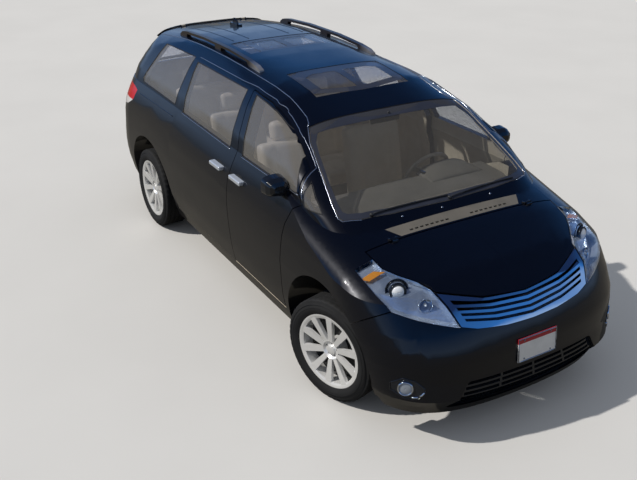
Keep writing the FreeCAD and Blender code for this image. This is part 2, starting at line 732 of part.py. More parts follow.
# Knuckle: an upright between two arms, with a stub axle that fits the hub's bore
stub_radius = bore_radius - running_gap
stub_end_x = wheel_centre_x - 7
pin_radius = 14.0
arm_half_height = 14.0
lower_arm_z = axle_height - 112
upper_arm_z = axle_height + 112
front_tyre, front_rim = wheel(front_axle_y)
rear_tyre, rear_rim = wheel(rear_axle_y)
knuckle = block(kingpin_x - 36, kingpin_x + 26, front_axle_y - 34, front_axle_y + 34,
                lower_arm_z + arm_half_height + 6, upper_arm_z - arm_half_height - 6)
knuckle = knuckle.fuse(Part.makeCylinder(stub_radius, stub_end_x - kingpin_x,
                                         Vector(kingpin_x, front_axle_y, axle_height), Vector(1, 0, 0)))
knuckle = knuckle.fuse(Part.makeCylinder(pin_radius, upper_arm_z - lower_arm_z + 2 * arm_half_height,
                                         Vector(kingpin_x, front_axle_y, lower_arm_z - arm_half_height)))
knuckle = knuckle.fuse(block(kingpin_x - 46, kingpin_x - 20, front_axle_y + 20, front_axle_y + 110,
                             axle_height - 60, axle_height - 36))
for name, shape in (("tyre_front", front_tyre), ("rim_front", front_rim), ("knuckle", knuckle)):
    save(name + "_left", steered(shape, 1))
    save(name + "_right", steered(mirrored(shape), -1))
save_pair("tyre_rear", rear_tyre)
save_pair("rim_rear", rear_rim)

# Rear axle beam with its trailing arms and stub axles
beam_z = 262.0
rear_beam = Part.makeCylinder(30, 1240, Vector(-620, rear_axle_y - 90, beam_z), Vector(1, 0, 0))
for side in (-1, 1):
    x0, x1 = sorted((side * 590, side * 640))
    rear_beam = rear_beam.fuse(block(x0, x1, rear_axle_y - 480, rear_axle_y + 40, beam_z - 24, beam_z + 28))
    rear_beam = rear_beam.fuse(block(x0, x1, rear_axle_y - 480, rear_axle_y - 430, beam_z,
                                     floor_bottom_z - seat_gap))
    x0, x1 = sorted((side * 620, side * 736))
    rear_beam = rear_beam.fuse(block(x0, x1, rear_axle_y - 40, rear_axle_y + 40, beam_z - 24, beam_z + 28))
    x0, x1 = sorted((side * 700, side * 736))
    rear_beam = rear_beam.fuse(block(x0, x1, rear_axle_y - 40, rear_axle_y + 40, beam_z, axle_height + 45))
    start = Vector(side * 710, rear_axle_y, axle_height)
    rear_beam = rear_beam.fuse(Part.makeCylinder(stub_radius, stub_end_x - 710, start, Vector(side, 0, 0)))
save("rear_axle_beam", rear_beam)

# Roof rails on their feet
rail_x = 500.0
rail_half_width = 19.0
rail_top = [(2580, 1700), (2640, 1722), (2760, 1737), (3100, 1752), (3600, 1746), (3960, 1722),
            (4070, 1704), (4116, 1676)]
rail_under = [(4116, 1640), (3990, 1640), (3960, 1700), (3600, 1724), (3380, 1728), (3360, 1660),
              (3280, 1660), (3260, 1729), (3100, 1731), (2790, 1718), (2740, 1640), (2580, 1640)]
roof_clear = body_within(upper_levels, roof_stations, -seat_gap, -seat_gap)
rail = side_prism(rail_top + rail_under, rail_x - rail_half_width, rail_x + rail_half_width)
rail = largest(rail.cut(roof_clear))
save("roof_rails", Part.makeCompound(on_both_sides(rail)))

# Fin antenna
fin = side_prism([(4010, 1660), (4030, 1735), (4098, 1760), (4112, 1752), (4120, 1660)], -9, 9)
fin = fin.fuse(block(-26, 26, station(3990), station(4135), 1660, 1718))
save("antenna", largest(fin.cut(roof_clear)))

# Spoiler over the tailgate
spoiler_front = 4588.0
spoiler_overhang = 34.0
spoiler_rise = 11.0
spoiler_side = [(spoiler_front, 1560), (spoiler_front, 1800), (4800, 1800), (4800, 1606), (4690, 1578),
                (4640, 1560)]
spoiler = body_within(upper_levels, roof_stations, -spoiler_overhang, -spoiler_rise)
spoiler = spoiler.common(side_prism(spoiler_side, -560, 560))
spoiler = spoiler.cut(roof_clear)
save("spoiler", largest(spoiler))


def rounded_box(x0, x1, y0, y1, z0, z1, radius):
    shape = block(x0, x1, y0, y1, z0, z1)
    return shape.makeFillet(radius, shape.Edges)


# Mirrors on the front doors
mirror_sections = [(1478, 40, 22), (1492, 66, 46), (1530, 80, 62), (1590, 84, 68)]
mirror_x = 950.0
mirror_z = 1240.0


def rounded_section(half_width, half_height, y):
    """Closed oval outline with flattened sides, across the vehicle."""
    pull = 1.1
    corners = [(1, 0, 0, 1), (0, 1, -1, 0), (-1, 0, 0, -1), (0, -1, 1, 0)]
    edges = []
    for ax, az, bx, bz in corners:
        start = Vector(mirror_x + ax * half_width, y, mirror_z + az * half_height)
        end = Vector(mirror_x + bx * half_width, y, mirror_z + bz * half_height)
        middle = Vector(mirror_x + (ax + bx) * half_width * pull, y,
                        mirror_z + (az + bz) * half_height * pull)
        edges.append(bezier([start, middle, end]))
    return Part.Wire(edges)


mirror_rings = [rounded_section(a, b, station(d)) for d, a, b in mirror_sections]
mirror = outward(Part.makeLoft(mirror_rings, True, True))
mirror = mirror.fuse(block(840, 940, station(1518), station(1566), 1176, 1206))
mirror = largest(mirror.cut(outer.fuse(lofted_body(lower_levels, -seat_gap))))
save_pair("mirror", mirror)

# Door handles, all on the widest line of the body
handle_half_height = 16.0
handle_z = 1082.0


def handle(d0, d1):
    bar = rounded_box(930, 986, station(d0), station(d1), handle_z - handle_half_height,
                      handle_z + handle_half_height, 9)
    return bar.cut(outer)


save_pair("front_door_handle", largest(handle(2030, 2206)))
save("sliding_door_handles", Part.makeCompound(on_both_sides(largest(handle(2366, 2542)))))

# Plates: blank
plate = block(-152, 152, station(18), station(24), 486, 640)
plate.rotate(Vector(0, station(24), 486), Vector(1, 0, 0), -6)
save("front_plate", largest(plate.cut(outer)))

# Floor with the firewall
floor_region = lofted_body(lower_levels, side_wall + seat_gap)
floor = floor_region.common(block(-1000, 1000, station(1160), station(4700), floor_bottom_z, floor_top_z))
firewall = block(-735, 735, station(1160), station(1185), floor_top_z - 5, 1085)
floor = floor.fuse(firewall)
for arch in on_both_sides(arch_cylinder(front_axle_y, arch_radius + 18, front_liner_x - 20, 1100)):
    floor = floor.cut(arch)
for arch in on_both_sides(arch_cylinder(rear_axle_y, arch_radius + 18, rear_liner_x - 20, 1100)):
    floor = floor.cut(arch)
for opening in on_both_sides(block(735, 1000, station(1100), station(1476), 290, 1100)):
    floor = floor.cut(opening)
for opening in on_both_sides(block(788, 1000, station(2180), station(2340), 290, 400)):
    floor = floor.cut(opening)
save("floor_pan", largest(floor))

# Engine and the front subframe with its lower arms
save("engine_block", block(-330, 330, station(430), station(930), 322 + seat_gap, 880))
subframe = block(-380, 380, station(860), station(940), 262, 322)
subframe = subframe.fuse(block(-380, -320, station(420), station(1240), 262, 299))
subframe = subframe.fuse(block(320, 380, station(420), station(1240), 262, 299))
subframe = subframe.fuse(block(-380, 380, station(420), station(480), 262, 322))
arm_eye_radius = 26.0
for side in (-1, 1):
    for arm_z in (lower_arm_z, upper_arm_z):
        x0, x1 = sorted((side * 380, side * kingpin_x))
        arm = block(x0, x1, front_axle_y - 20, front_axle_y + 20,
                    arm_z - arm_half_height, arm_z + arm_half_height)
        eye_base = Vector(side * kingpin_x, front_axle_y, arm_z - arm_half_height)
        arm = arm.fuse(Part.makeCylinder(arm_eye_radius, 2 * arm_half_height, eye_base))
        arm = arm.cut(Part.makeCylinder(pin_radius + running_gap, 2 * arm_half_height, eye_base))
        subframe = subframe.fuse(arm)
    x0, x1 = sorted((side * 380, side * 430))
    subframe = subframe.fuse(block(x0, x1, front_axle_y - 30, front_axle_y + 30, 262, upper_arm_z + 14))
    strut_base = Vector(side * 640, front_axle_y, lower_arm_z)
    strut_length = axle_height + arch_radius - seat_gap - lower_arm_z
    strut = Part.makeCylinder(14, strut_length, strut_base).fuse(
        Part.makeCylinder(30, 200, strut_base + Vector(0, 0, 330)))
    subframe = subframe.fuse(strut)
save("front_subframe", subframe)

# Fuel tank and exhaust under the floor
save("fuel_tank", block(-120, 520, station(2450), station(3150), 235, floor_bottom_z - seat_gap))
pipe_z = 203.0
pipe = Part.makeCylinder(24, 2930, Vector(-330, station(1290), pipe_z), Vector(0, 1, 0))
muffler = block(-480, -180, station(4200), station(4560), 180, floor_bottom_z - seat_gap)
tail_pipe = Part.makeCylinder(26, 260, Vector(-420, station(4540), pipe_z + 20), Vector(0, 1, 0))
save("exhaust", pipe.fuse(muffler).fuse(tail_pipe))

# Dashboard, with the steering column
dashboard = side_prism([(1185.3, 790), (1185.3, 1086), (1250, 1104), (1470, 1108), (1545, 1050),
                        (1530, 900), (1440, 700), (1300, 692), (1250, 738)], -728, 728)
driver_x = 380.0
column_tilt_deg = 25.0
column_length = 200.0
hub_depth = 34.0
column_foot = Vector(driver_x, station(1480), 930)
column_axis = Vector(0, math.cos(math.radians(column_tilt_deg)), math.sin(math.radians(column_tilt_deg)))
dashboard = dashboard.fuse(Part.makeCylinder(30, column_length, column_foot, column_axis))
save("dashboard", largest(dashboard))

# Steering wheel, drawn flat about Y and then tilted onto its column
grip_radius = 185.0
grip_half = 14.0
grip = [(grip_half * math.cos(math.radians(angle)), grip_radius + grip_half * math.sin(math.radians(angle)))
        for angle in range(0, 360, 45)]
steering_wheel = filled([Vector(r, a, 0) for a, r in grip]).revolve(Vector(0, 0, 0), Vector(0, 1, 0), 360)
hub = Part.makeCylinder(55, hub_depth, Vector(0, -10, 0), Vector(0, 1, 0))
steering_wheel = outward(steering_wheel).fuse(hub)
for angle in (60, 180, 300):
    bar = block(-18, 18, -7, 7, 30, grip_radius)
    bar.rotate(Vector(0, 0, 0), Vector(0, 1, 0), angle)
    steering_wheel = steering_wheel.fuse(bar)
steering_wheel.rotate(Vector(0, 0, 0), Vector(1, 0, 0), column_tilt_deg)
steering_wheel.translate(column_foot + column_axis * (column_length + 10 + seat_gap))
save("steering_wheel", largest(steering_wheel))


def seat(x, half_width, front, cushion_z, top_z, headrests):
    """Seat with its cushion and back in one side outline, and its headrests on posts."""
    side = [(front, cushion_z - 130), (front, cushion_z - 30), (front + 40, cushion_z),
            (front + 420, cushion_z - 25), (front + 560, top_z), (front + 640, top_z + 6),
            (front + 660, top_z - 40), (front + 560, cushion_z - 150)]
    shape = side_prism(side, x - half_width, x + half_width)
    base = block(x - half_width + 60, x + half_width - 60, station(front + 60), station(front + 480),
                 floor_top_z + seat_gap, cushion_z - 120)
    shape = shape.fuse(base)
    for headrest_x in headrests:
        rest = block(headrest_x - 120, headrest_x + 120, station(front + 590), station(front + 690),
                     top_z + 10, top_z + 170)
        post = block(headrest_x - 40, headrest_x + 40, station(front + 605), station(front + 635),
                     top_z - 30, top_z + 40)
        shape = shape.fuse(post).fuse(rest)
    return largest(shape)


seats = on_both_sides(seat(380, 255, 1830, 680, 1180, [380]))
seats += on_both_sides(seat(400, 250, 2700, 680, 1180, [400]))
seats.append(seat(0, 620, 3480, 700, 1180, [-400, 0, 400]))
save("seats", Part.makeCompound(seats))

# Wipers at the base of the windshield
wipers = []
for start_x, end_x in ((-60, 560), (-620, -20)):
    band = body_within(upper_levels, roof_stations, -14, -14).cut(
        body_within(upper_levels, roof_stations, glass_depth - seat_gap, glass_depth - seat_gap))
    strip = plan_prism([(start_x, 975 + abs(start_x) * 0.06), (end_x, 975 + abs(end_x) * 0.06),
                        (end_x, 995 + abs(end_x) * 0.06), (start_x, 995 + abs(start_x) * 0.06)], 1100, 1400)
    wipers.append(largest(band.common(strip)))
save("wipers", Part.makeCompound(wipers))
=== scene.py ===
import math

import bpy
from mathutils import Matrix, Vector
from mathutils.bvhtree import BVHTree


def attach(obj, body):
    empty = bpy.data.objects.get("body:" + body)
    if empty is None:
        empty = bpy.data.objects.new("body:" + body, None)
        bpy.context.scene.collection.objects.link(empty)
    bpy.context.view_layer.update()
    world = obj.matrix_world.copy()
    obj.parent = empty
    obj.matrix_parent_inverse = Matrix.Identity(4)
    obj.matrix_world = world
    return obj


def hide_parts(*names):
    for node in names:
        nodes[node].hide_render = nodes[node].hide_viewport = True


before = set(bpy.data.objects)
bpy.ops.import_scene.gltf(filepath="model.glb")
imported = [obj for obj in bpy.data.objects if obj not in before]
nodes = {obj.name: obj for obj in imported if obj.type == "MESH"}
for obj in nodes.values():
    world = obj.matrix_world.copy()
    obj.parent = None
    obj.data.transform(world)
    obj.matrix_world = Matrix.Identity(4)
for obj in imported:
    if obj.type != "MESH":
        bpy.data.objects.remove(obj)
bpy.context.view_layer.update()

# Places along the vehicle are given in millimetres behind the nose, heights in millimetres
# above the ground and widths in millimetres from the middle, and turned into metres here.
NOSE_Y = -2.485
MM = 0.001
FRONT_AXLE = 908.5
REAR_AXLE = 3938.5
AXLE_HEIGHT = 355.0
WHEEL_CENTRE_X = 865.0
KINGPIN_X = 790.0
STEER_REST_DEG = 15.0
BOTH_SIDES = ((1, "left"), (-1, "right"))
DOORS = ("front_door_left", "front_door_right")


def place(x, d, z):
    return Vector((x * MM, NOSE_Y + d * MM, z * MM))


def add_object(name, data):
    made = bpy.data.objects.new(name, data)
    bpy.context.scene.collection.objects.link(made)
    return made


# Camera, at the photograph's place and angle
CAMERA_PLACE = (-3.286, -5.433, 3.382)
CAMERA_YAW_DEG = 59.35
CAMERA_PITCH_DEG = -26.6
CAMERA_LENS = 47.69
SENSOR_WIDTH = 36.0
camera = add_object("camera", bpy.data.cameras.new("camera"))
camera.data.sensor_width = SENSOR_WIDTH
camera.data.lens = CAMERA_LENS
camera.location = CAMERA_PLACE
camera.rotation_euler = (math.radians(90 + CAMERA_PITCH_DEG), 0, math.radians(CAMERA_YAW_DEG - 90))
bpy.context.scene.camera = camera
bpy.context.scene.view_settings.view_transform = "Standard"


# Node helpers
def new_material(name):
    """Material with an empty node tree, and that tree."""
    made = bpy.data.materials.new(name)
    made.use_nodes = True
    made.node_tree.nodes.clear()
    return made, made.node_tree


def add_node(tree, kind, inputs=None, **settings):
    """Node with these settings. Its inputs are set to values, or linked to sockets or to the first
    output of nodes."""
    made = tree.nodes.new(kind)
    for name, value in settings.items():
        setattr(made, name, value)
    for key, value in (inputs or {}).items():
        if isinstance(value, bpy.types.Node):
            value = value.outputs[0]
        if isinstance(value, bpy.types.NodeSocket):
            tree.links.new(value, made.inputs[key])
        else:
            made.inputs[key].default_value = value
    return made


def shader_node(tree, kind, inputs=None, **settings):
    return add_node(tree, "ShaderNode" + kind, inputs, **settings)


def set_output(tree, surface):
    shader_node(tree, "OutputMaterial", {"Surface": surface})


def mixed(tree, share, first, second):
    """The first shader where the share is 0 and the second where it is 1."""
    return shader_node(tree, "MixShader", {0: share, 1: first, 2: second})


def principled(tree, color, roughness, metallic=0.0, coat=0.0, coat_roughness=0.03, specular=0.5,
               sheen=0.0, normal=None):
    """Surface whose colour and roughness are values or nodes."""
    shader = shader_node(tree, "BsdfPrincipled", {
        "Base Color": color, "Roughness": roughness, "Metallic": metallic, "Coat Weight": coat,
        "Coat Roughness": coat_roughness, "Specular IOR Level": specular, "Sheen Weight": sheen})
    if normal:
        tree.links.new(normal.outputs["Normal"], shader.inputs["Normal"])
    return shader


def noise(tree, scale, detail=2.0, stretch=(1, 1, 1)):
    coordinates = shader_node(tree, "TexCoord")
    mapping = shader_node(tree, "Mapping", {"Vector": coordinates.outputs["Object"], "Scale": stretch})
    return shader_node(tree, "TexNoise", {"Vector": mapping, "Scale": scale, "Detail": detail})


def between(tree, value, low, high):
    """Value from 0 to 1 brought to between the two."""
    return shader_node(tree, "MapRange", {"Value": value, "To Min": low, "To Max": high})


def ramped(tree, value, stops):
    """Colour that runs through the stops, each a position and a colour."""
    ramp = shader_node(tree, "ValToRGB", {"Fac": value})
    elements = ramp.color_ramp.elements
    while len(elements) < len(stops):
        elements.new(0.5)
    for element, (position, color) in zip(elements, stops):
        element.position = position
        element.color = (*color, 1)
    return ramp


def varied(tree, texture, dark, light):
    """Colour that wanders between two shades."""
    return ramped(tree, texture, [(0.35, dark), (0.65, light)])


def bump(tree, texture, strength, distance):
    return shader_node(tree, "Bump", {"Height": texture, "Strength": strength, "Distance": distance})


# Material makers
def surface_material(name, dark, light, roughness, metallic=0.0, coat=0.0, grain=200.0, relief=0.1,
                     depth=0.0004, sheen=0.0, stretch=(1, 1, 1)):
    """Material whose shade, gloss and relief vary a little over the surface."""
    made, tree = new_material(name)
    shade = varied(tree, noise(tree, 6.0, 5.0), dark, light)
    gloss = between(tree, noise(tree, 9.0, 4.0), roughness * 0.88, min(1.0, roughness * 1.15))
    raised = bump(tree, noise(tree, grain, 3.0, stretch), relief, depth) if relief else None
    set_output(tree, principled(tree, shade, gloss, metallic, coat, sheen=sheen, normal=raised))
    return made


# Panels show paint outside and trim inside. The mask compares the surface's direction with
# the way out of the cabin at that place.
def inside_mask(tree, weights, centre_z):
    coordinates = shader_node(tree, "TexCoord")
    shift = shader_node(tree, "VectorMath", {0: coordinates.outputs["Object"], 1: (0, 0, centre_z)},
                        operation="SUBTRACT")
    weigh = shader_node(tree, "VectorMath", {0: shift, 1: weights}, operation="MULTIPLY")
    dot = shader_node(tree, "VectorMath", {0: weigh, 1: coordinates.outputs["Normal"]},
                      operation="DOT_PRODUCT")
    return shader_node(tree, "Math", {0: dot.outputs["Value"], 1: -0.1}, operation="LESS_THAN")


PAINT_DARK = (0.0012, 0.0018, 0.0040)
PAINT_LIGHT = (0.0022, 0.0040, 0.0110)
PAINT_FLAKE_SCALE = 2600.0
COAT_IOR = 1.45


def paint_surface(tree):
    """Near-black navy with fine metal flakes under a clear coat."""
    flakes = varied(tree, noise(tree, PAINT_FLAKE_SCALE, 0.0), PAINT_DARK, PAINT_LIGHT)
    gloss = between(tree, noise(tree, 7.0, 4.0), 0.28, 0.36)
    shader = principled(tree, flakes, gloss, 0.3, 1.0, 0.015, 0.25)
    shader.inputs["Coat IOR"].default_value = COAT_IOR
    return shader


def paint_material(name):
    made, tree = new_material(name)
    set_output(tree, paint_surface(tree))
    return made


def panel_material(name, inner, weights, centre_z):
    """Paint outside, and inside a trim given by its two shades and roughness."""
    made, tree = new_material(name)
    dark, light, roughness = inner
    trim = principled(tree, varied(tree, noise(tree, 8.0, 5.0), dark, light), roughness,
                      normal=bump(tree, noise(tree, 900.0), 0.25, 0.0005))
    set_output(tree, mixed(tree, inside_mask(tree, weights, centre_z), paint_surface(tree), trim))
    return made


GLASS_GLOSS = (0.03, 0.9)
# Painted reflection: grey-brown of a diffuse layer on the glass, standing in for the ground mirrored in it.
GROUND_REFLECTION_COLOR = (0.50, 0.47, 0.42, 1)
MIRROR_COLOR = (0.9, 0.95, 1.0, 1)


def glass_material(name, tint, reflection_share):
    """Thin clear sheet: it lets light straight through, with a thin grey-brown diffuse layer that paints the
    ground's reflection, and mirrors by its angle."""
    made, tree = new_material(name)
    clear = shader_node(tree, "BsdfTransparent", {"Color": (*tint, 1)})
    # Painted reflection of the ground, as a diffuse layer over the clear sheet.
    painted_reflection = shader_node(tree, "BsdfDiffuse", {"Color": GROUND_REFLECTION_COLOR})
    veiled = mixed(tree, between(tree, noise(tree, 2.5, 4.0), reflection_share * 0.8, reflection_share * 1.2), clear, painted_reflection)
    mirror = shader_node(tree, "BsdfGlossy", {"Roughness": 0.0, "Color": MIRROR_COLOR})
    facing = shader_node(tree, "LayerWeight", {"Blend": 0.5})
    steep = shader_node(tree, "Math", {0: facing.outputs["Facing"], 1: 5.0}, operation="POWER")
    set_output(tree, mixed(tree, between(tree, steep, *GLASS_GLOSS), veiled, mirror))
    return made


def two_shade_material(name, axis, start, end, first, second):
    """One finish up to a place along an axis and another past it. Each finish: colour, roughness,
    metallic."""
    made, tree = new_material(name)
    raised = bump(tree, noise(tree, 700.0, 3.0), 0.06, 0.0003)
    surfaces = []
    for color, roughness, metallic in (first, second):
        shade = varied(tree, noise(tree, 12.0, 4.0), tuple(c * 0.9 for c in color), color)
        surfaces.append(principled(tree, shade, roughness, metallic, 0.3, normal=raised))
    coordinates = shader_node(tree, "TexCoord")
    separate = shader_node(tree, "SeparateXYZ", {"Vector": coordinates.outputs["Object"]})
    past = shader_node(tree, "MapRange",
                       {"Value": separate.outputs[axis], "From Min": start, "From Max": end})
    set_output(tree, mixed(tree, past, *surfaces))
    return made


def floor_material(name, seen, felt):
    """Pale where the camera sees it and plain grey ground for everything that mirrors it."""
    made, tree = new_material(name)
    rays = shader_node(tree, "LightPath")
    surfaces = []
    for color in (felt, seen):
        shade = varied(tree, noise(tree, 0.8, 4.0), tuple(c * 0.97 for c in color), color)
        surfaces.append(principled(tree, shade, 0.9, specular=0.0))
    set_output(tree, mixed(tree, rays.outputs["Is Camera Ray"], *surfaces))
    return made


# Finishes by name: slot, two shades, roughness and what else sets the surface apart
SURFACES = {
    "chrome": ("chrome", (0.80, 0.85, 0.92), (0.86, 0.90, 0.96), 0.07, dict(metallic=1.0, relief=0)),
    "handle_chrome": ("chrome", (0.66, 0.71, 0.78), (0.72, 0.77, 0.84), 0.22,
        dict(metallic=0.45, coat=0.6, relief=0)),
    # Painted highlight: bright metal that draws the sun's glints along door tops, roof ditches, windshield
    # edges and belts; also the metal of the lock, plate frame and washer jets.
    "bright_metal_and_glint": ("chrome", (0.42, 0.46, 0.54), (0.52, 0.56, 0.64), 0.22, dict(metallic=0.9, relief=0)),
    "mirror_silver": ("chrome", (0.9, 0.9, 0.9), (0.92, 0.92, 0.92), 0.02, dict(metallic=1.0, relief=0)),
    "lamp_chrome": ("chrome", (0.42, 0.48, 0.58), (0.80, 0.85, 0.92), 0.20,
        dict(metallic=0.7, grain=60, relief=0.35, depth=0.005)),
    "black_plastic": ("black_plastic", (0.016, 0.017, 0.019), (0.026, 0.027, 0.030), 0.45,
        dict(grain=1500, relief=0.25, depth=0.0003)),
    "rubber": ("black_plastic", (0.010, 0.010, 0.011), (0.018, 0.018, 0.019), 0.7,
        dict(grain=900, relief=0.2)),
    "tyre_rubber": ("tyre", (0.006, 0.006, 0.006), (0.012, 0.012, 0.012), 0.8,
        dict(grain=500, relief=0.35, depth=0.0006)),
    "gloss_black": ("gloss_black", (0.006, 0.008, 0.012), (0.010, 0.013, 0.020), 0.12,
        dict(coat=0.6, relief=0)),
    "screen_black": ("gloss_black", (0.008, 0.010, 0.014), (0.012, 0.015, 0.02), 0.1,
        dict(coat=0.8, relief=0)),
    "dial_face": ("gloss_black", (0.02, 0.03, 0.05), (0.10, 0.12, 0.15), 0.3, dict(coat=0.5, relief=0)),
    "dark_wood": ("gloss_black", (0.10, 0.045, 0.02), (0.20, 0.09, 0.04), 0.25,
        dict(coat=0.8, grain=14, relief=0.05, stretch=(12, 1, 1))),
    "frit_band": ("gloss_black", (0.030, 0.034, 0.048), (0.036, 0.040, 0.056), 0.3, dict(coat=0.4, relief=0)),
    "vent_grey": ("vent_grey", (0.115, 0.105, 0.088), (0.145, 0.13, 0.11), 0.6, dict(grain=800, relief=0.3)),
    "alloy": ("alloy", (0.86, 0.86, 0.85), (0.92, 0.92, 0.91), 0.32,
        dict(metallic=0.35, coat=0.6, grain=1200, relief=0.05)),
    "iron": ("iron", (0.06, 0.058, 0.056), (0.10, 0.095, 0.09), 0.55,
        dict(metallic=0.6, grain=260, relief=0.6, depth=0.001)),
    # Painted shade: near-black iron for the dish behind the spokes, partly the brake parts and partly the
    # shade in the gaps between spokes.
    "shaded_brake_iron": ("iron", (0.012, 0.012, 0.013), (0.022, 0.022, 0.023), 0.5,
        dict(metallic=0.4, grain=260, relief=0.4, depth=0.001)),
    "steel": ("steel", (0.30, 0.30, 0.30), (0.38, 0.38, 0.38), 0.35,
        dict(metallic=0.9, grain=400, relief=0.2)),
    "leather": ("trim_beige", (0.60, 0.52, 0.41), (0.68, 0.60, 0.48), 0.5,
        dict(grain=420, relief=0.35, depth=0.0008, sheen=0.15)),
    "leather_dark": ("trim_grey", (0.40, 0.34, 0.27), (0.46, 0.40, 0.32), 0.55,
        dict(grain=420, relief=0.35, depth=0.0008, sheen=0.15)),
    "trim_grey": ("trim_grey", (0.17, 0.155, 0.135), (0.22, 0.20, 0.175), 0.6,
        dict(grain=700, relief=0.4, depth=0.0006)),
    "beige_trim": ("trim_beige", (0.58, 0.51, 0.40), (0.64, 0.57, 0.46), 0.6,
        dict(grain=700, relief=0.3, depth=0.0005)),
    "carpet": ("trim_beige", (0.20, 0.18, 0.155), (0.30, 0.27, 0.23), 0.95,
        dict(grain=1600, relief=0.9, depth=0.002)),
    "amber": ("lamp", (0.55, 0.20, 0.02), (0.75, 0.30, 0.03), 0.2,
        dict(coat=0.8, grain=350, relief=0.6, depth=0.0015)),
    "fog_face": ("lamp", (0.24, 0.27, 0.32), (0.34, 0.38, 0.44), 0.12,
        dict(coat=0.8, grain=90, relief=0.2, depth=0.001)),
    # Painted highlight: white for the domes on the projector lenses; also the white of the beam bulbs.
    "bulb_and_highlight_white": ("lamp", (0.85, 0.88, 0.92), (0.95, 0.96, 0.98), 0.1, dict(coat=0.8, relief=0)),
    "tail_red": ("lamp_red", (0.50, 0.010, 0.010), (0.60, 0.016, 0.016), 0.15,
        dict(coat=0.8, grain=300, relief=0.4)),
    "plate_rear": ("plate", (0.78, 0.78, 0.77), (0.82, 0.82, 0.81), 0.4, dict(relief=0)),
}
looks = {}
for name, (slot, dark, light, roughness, extra) in SURFACES.items():
    looks[name] = surface_material(name, dark, light, roughness, **extra)

BEIGE = ((0.62, 0.54, 0.43), (0.70, 0.62, 0.50), 0.55)
HEADLINER = ((0.44, 0.41, 0.36), (0.50, 0.47, 0.41), 0.9)
UNDERSIDE = ((0.012, 0.012, 0.013), (0.020, 0.020, 0.021), 0.7)
for name, *settings in (("paint_and_trim", BEIGE, (1, 0, 1), 0.9),
                        ("paint_and_headliner", HEADLINER, (0, 0, 1), 1.0),
                        ("paint_and_underside", UNDERSIDE, (0, 0, 1), 0.3),
                        ("paint_and_dark_back", UNDERSIDE, (1, 1, 0), 0.0),
                        ("paint_and_tail_trim", BEIGE, (0, 1, 0), 0.0)):
    looks[name] = panel_material(name, *settings)
for name, *settings in (("clear_glass", (0.80, 0.81, 0.81), 0.05), ("tinted_glass", (0.88, 0.89, 0.92), 0.13),
                        ("roof_glass", (0.93, 0.94, 0.95), 0.05), ("lens_clear", (0.95, 0.97, 0.99), 0.0)):
    looks[name] = glass_material(name, *settings)
for name, *settings in (
        ("tail_lens", "Z", 1.078, 1.084, ((0.86, 0.84, 0.84), 0.12, 0.2), ((0.55, 0.012, 0.012), 0.12, 0.0)),
        ("plate_face", "Z", 0.606, 0.608, ((0.80, 0.80, 0.79), 0.4, 0.0), ((0.42, 0.02, 0.03), 0.4, 0.0)),
        ("rail_finish", "Y", NOSE_Y + 2.64, NOSE_Y + 2.76, ((0.62, 0.60, 0.58), 0.3, 0.8),
         ((0.030, 0.024, 0.022), 0.35, 0.3))):
    looks[name] = two_shade_material(name, *settings)
looks["paint_only"] = paint_material("paint_only")

# Carried-over nodes by their finish
NODES_BY_LOOK = {
    "paint_and_underside": "hood cowl_panel",
    "paint_and_dark_back": "front_bumper fenders rear_bumper spoiler",
    "paint_and_headliner": "roof_panel",
    "paint_and_tail_trim": "tailgate",
    "paint_and_trim": "side_frame_left side_frame_right front_door_left front_door_right sliding_doors",
    "vent_grey": "cowl_vent",
    "chrome": "grille",
    "gloss_black": "grille_core lower_grille fog_lamps antenna mirror_left mirror_right",
    "tinted_glass": "front_door_glass_left front_door_glass_right side_glass rear_glass",
    "roof_glass": "roof_glass",
    "clear_glass": "windshield",
    "tail_lens": "tail_lamps",
    "rail_finish": "roof_rails",
    "handle_chrome": "front_door_handle_left front_door_handle_right sliding_door_handles",
    "plate_face": "front_plate",
    "carpet": "floor_pan",
    "iron": "engine_block front_subframe knuckle_left knuckle_right rear_axle_beam",
    "black_plastic": "fuel_tank wipers",
    "steel": "exhaust",
    "trim_grey": "dashboard",
    "leather_dark": "steering_wheel",
    "alloy": "rim_front_left rim_front_right rim_rear_left rim_rear_right",
    "lamp_chrome": "headlamps",
}
MERGE_DISTANCE = 0.00002
SHADE_SMOOTH_DEG = 26.0


def smoothing_group(name, angle_deg):
    """Joins split corners and shades smoothly across edges that turn by less than the angle."""
    tree = bpy.data.node_groups.new(name, "GeometryNodeTree")
    for way in ("INPUT", "OUTPUT"):
        tree.interface.new_socket("Geometry", in_out=way, socket_type="NodeSocketGeometry")
    angle = add_node(tree, "GeometryNodeInputMeshEdgeAngle")
    below = add_node(tree, "FunctionNodeCompare",
                     {"A": angle.outputs["Unsigned Angle"], "B": math.radians(angle_deg)},
                     operation="LESS_THAN")
    last = add_node(tree, "NodeGroupInput")
    for kind, inputs, settings in (
            ("GeometryNodeMergeByDistance", {"Distance": MERGE_DISTANCE}, {}),
            ("GeometryNodeRemoveAttribute", {"Name": "custom_normal"}, {}),
            ("GeometryNodeSetShadeSmooth", {"Shade Smooth": True}, {"domain": "FACE"}),
            ("GeometryNodeSetShadeSmooth", {"Shade Smooth": below}, {"domain": "EDGE"}),
            ("NodeGroupOutput", {}, {})):
        last = add_node(tree, kind, {"Geometry": last.outputs["Geometry"], **inputs}, **settings)
    return tree


smoothing = smoothing_group("smooth_panels", SHADE_SMOOTH_DEG)
for look_name, node_names in NODES_BY_LOOK.items():
    for node_name in node_names.split():
        node = nodes[node_name]
        node.data.materials.clear()
        node.data.materials.append(looks[look_name])
        node.modifiers.new("smooth", "NODES").node_group = smoothing
        weigh = node.modifiers.new("weigh", "WEIGHTED_NORMAL")
        weigh.keep_sharp = True
        weigh.weight = 80


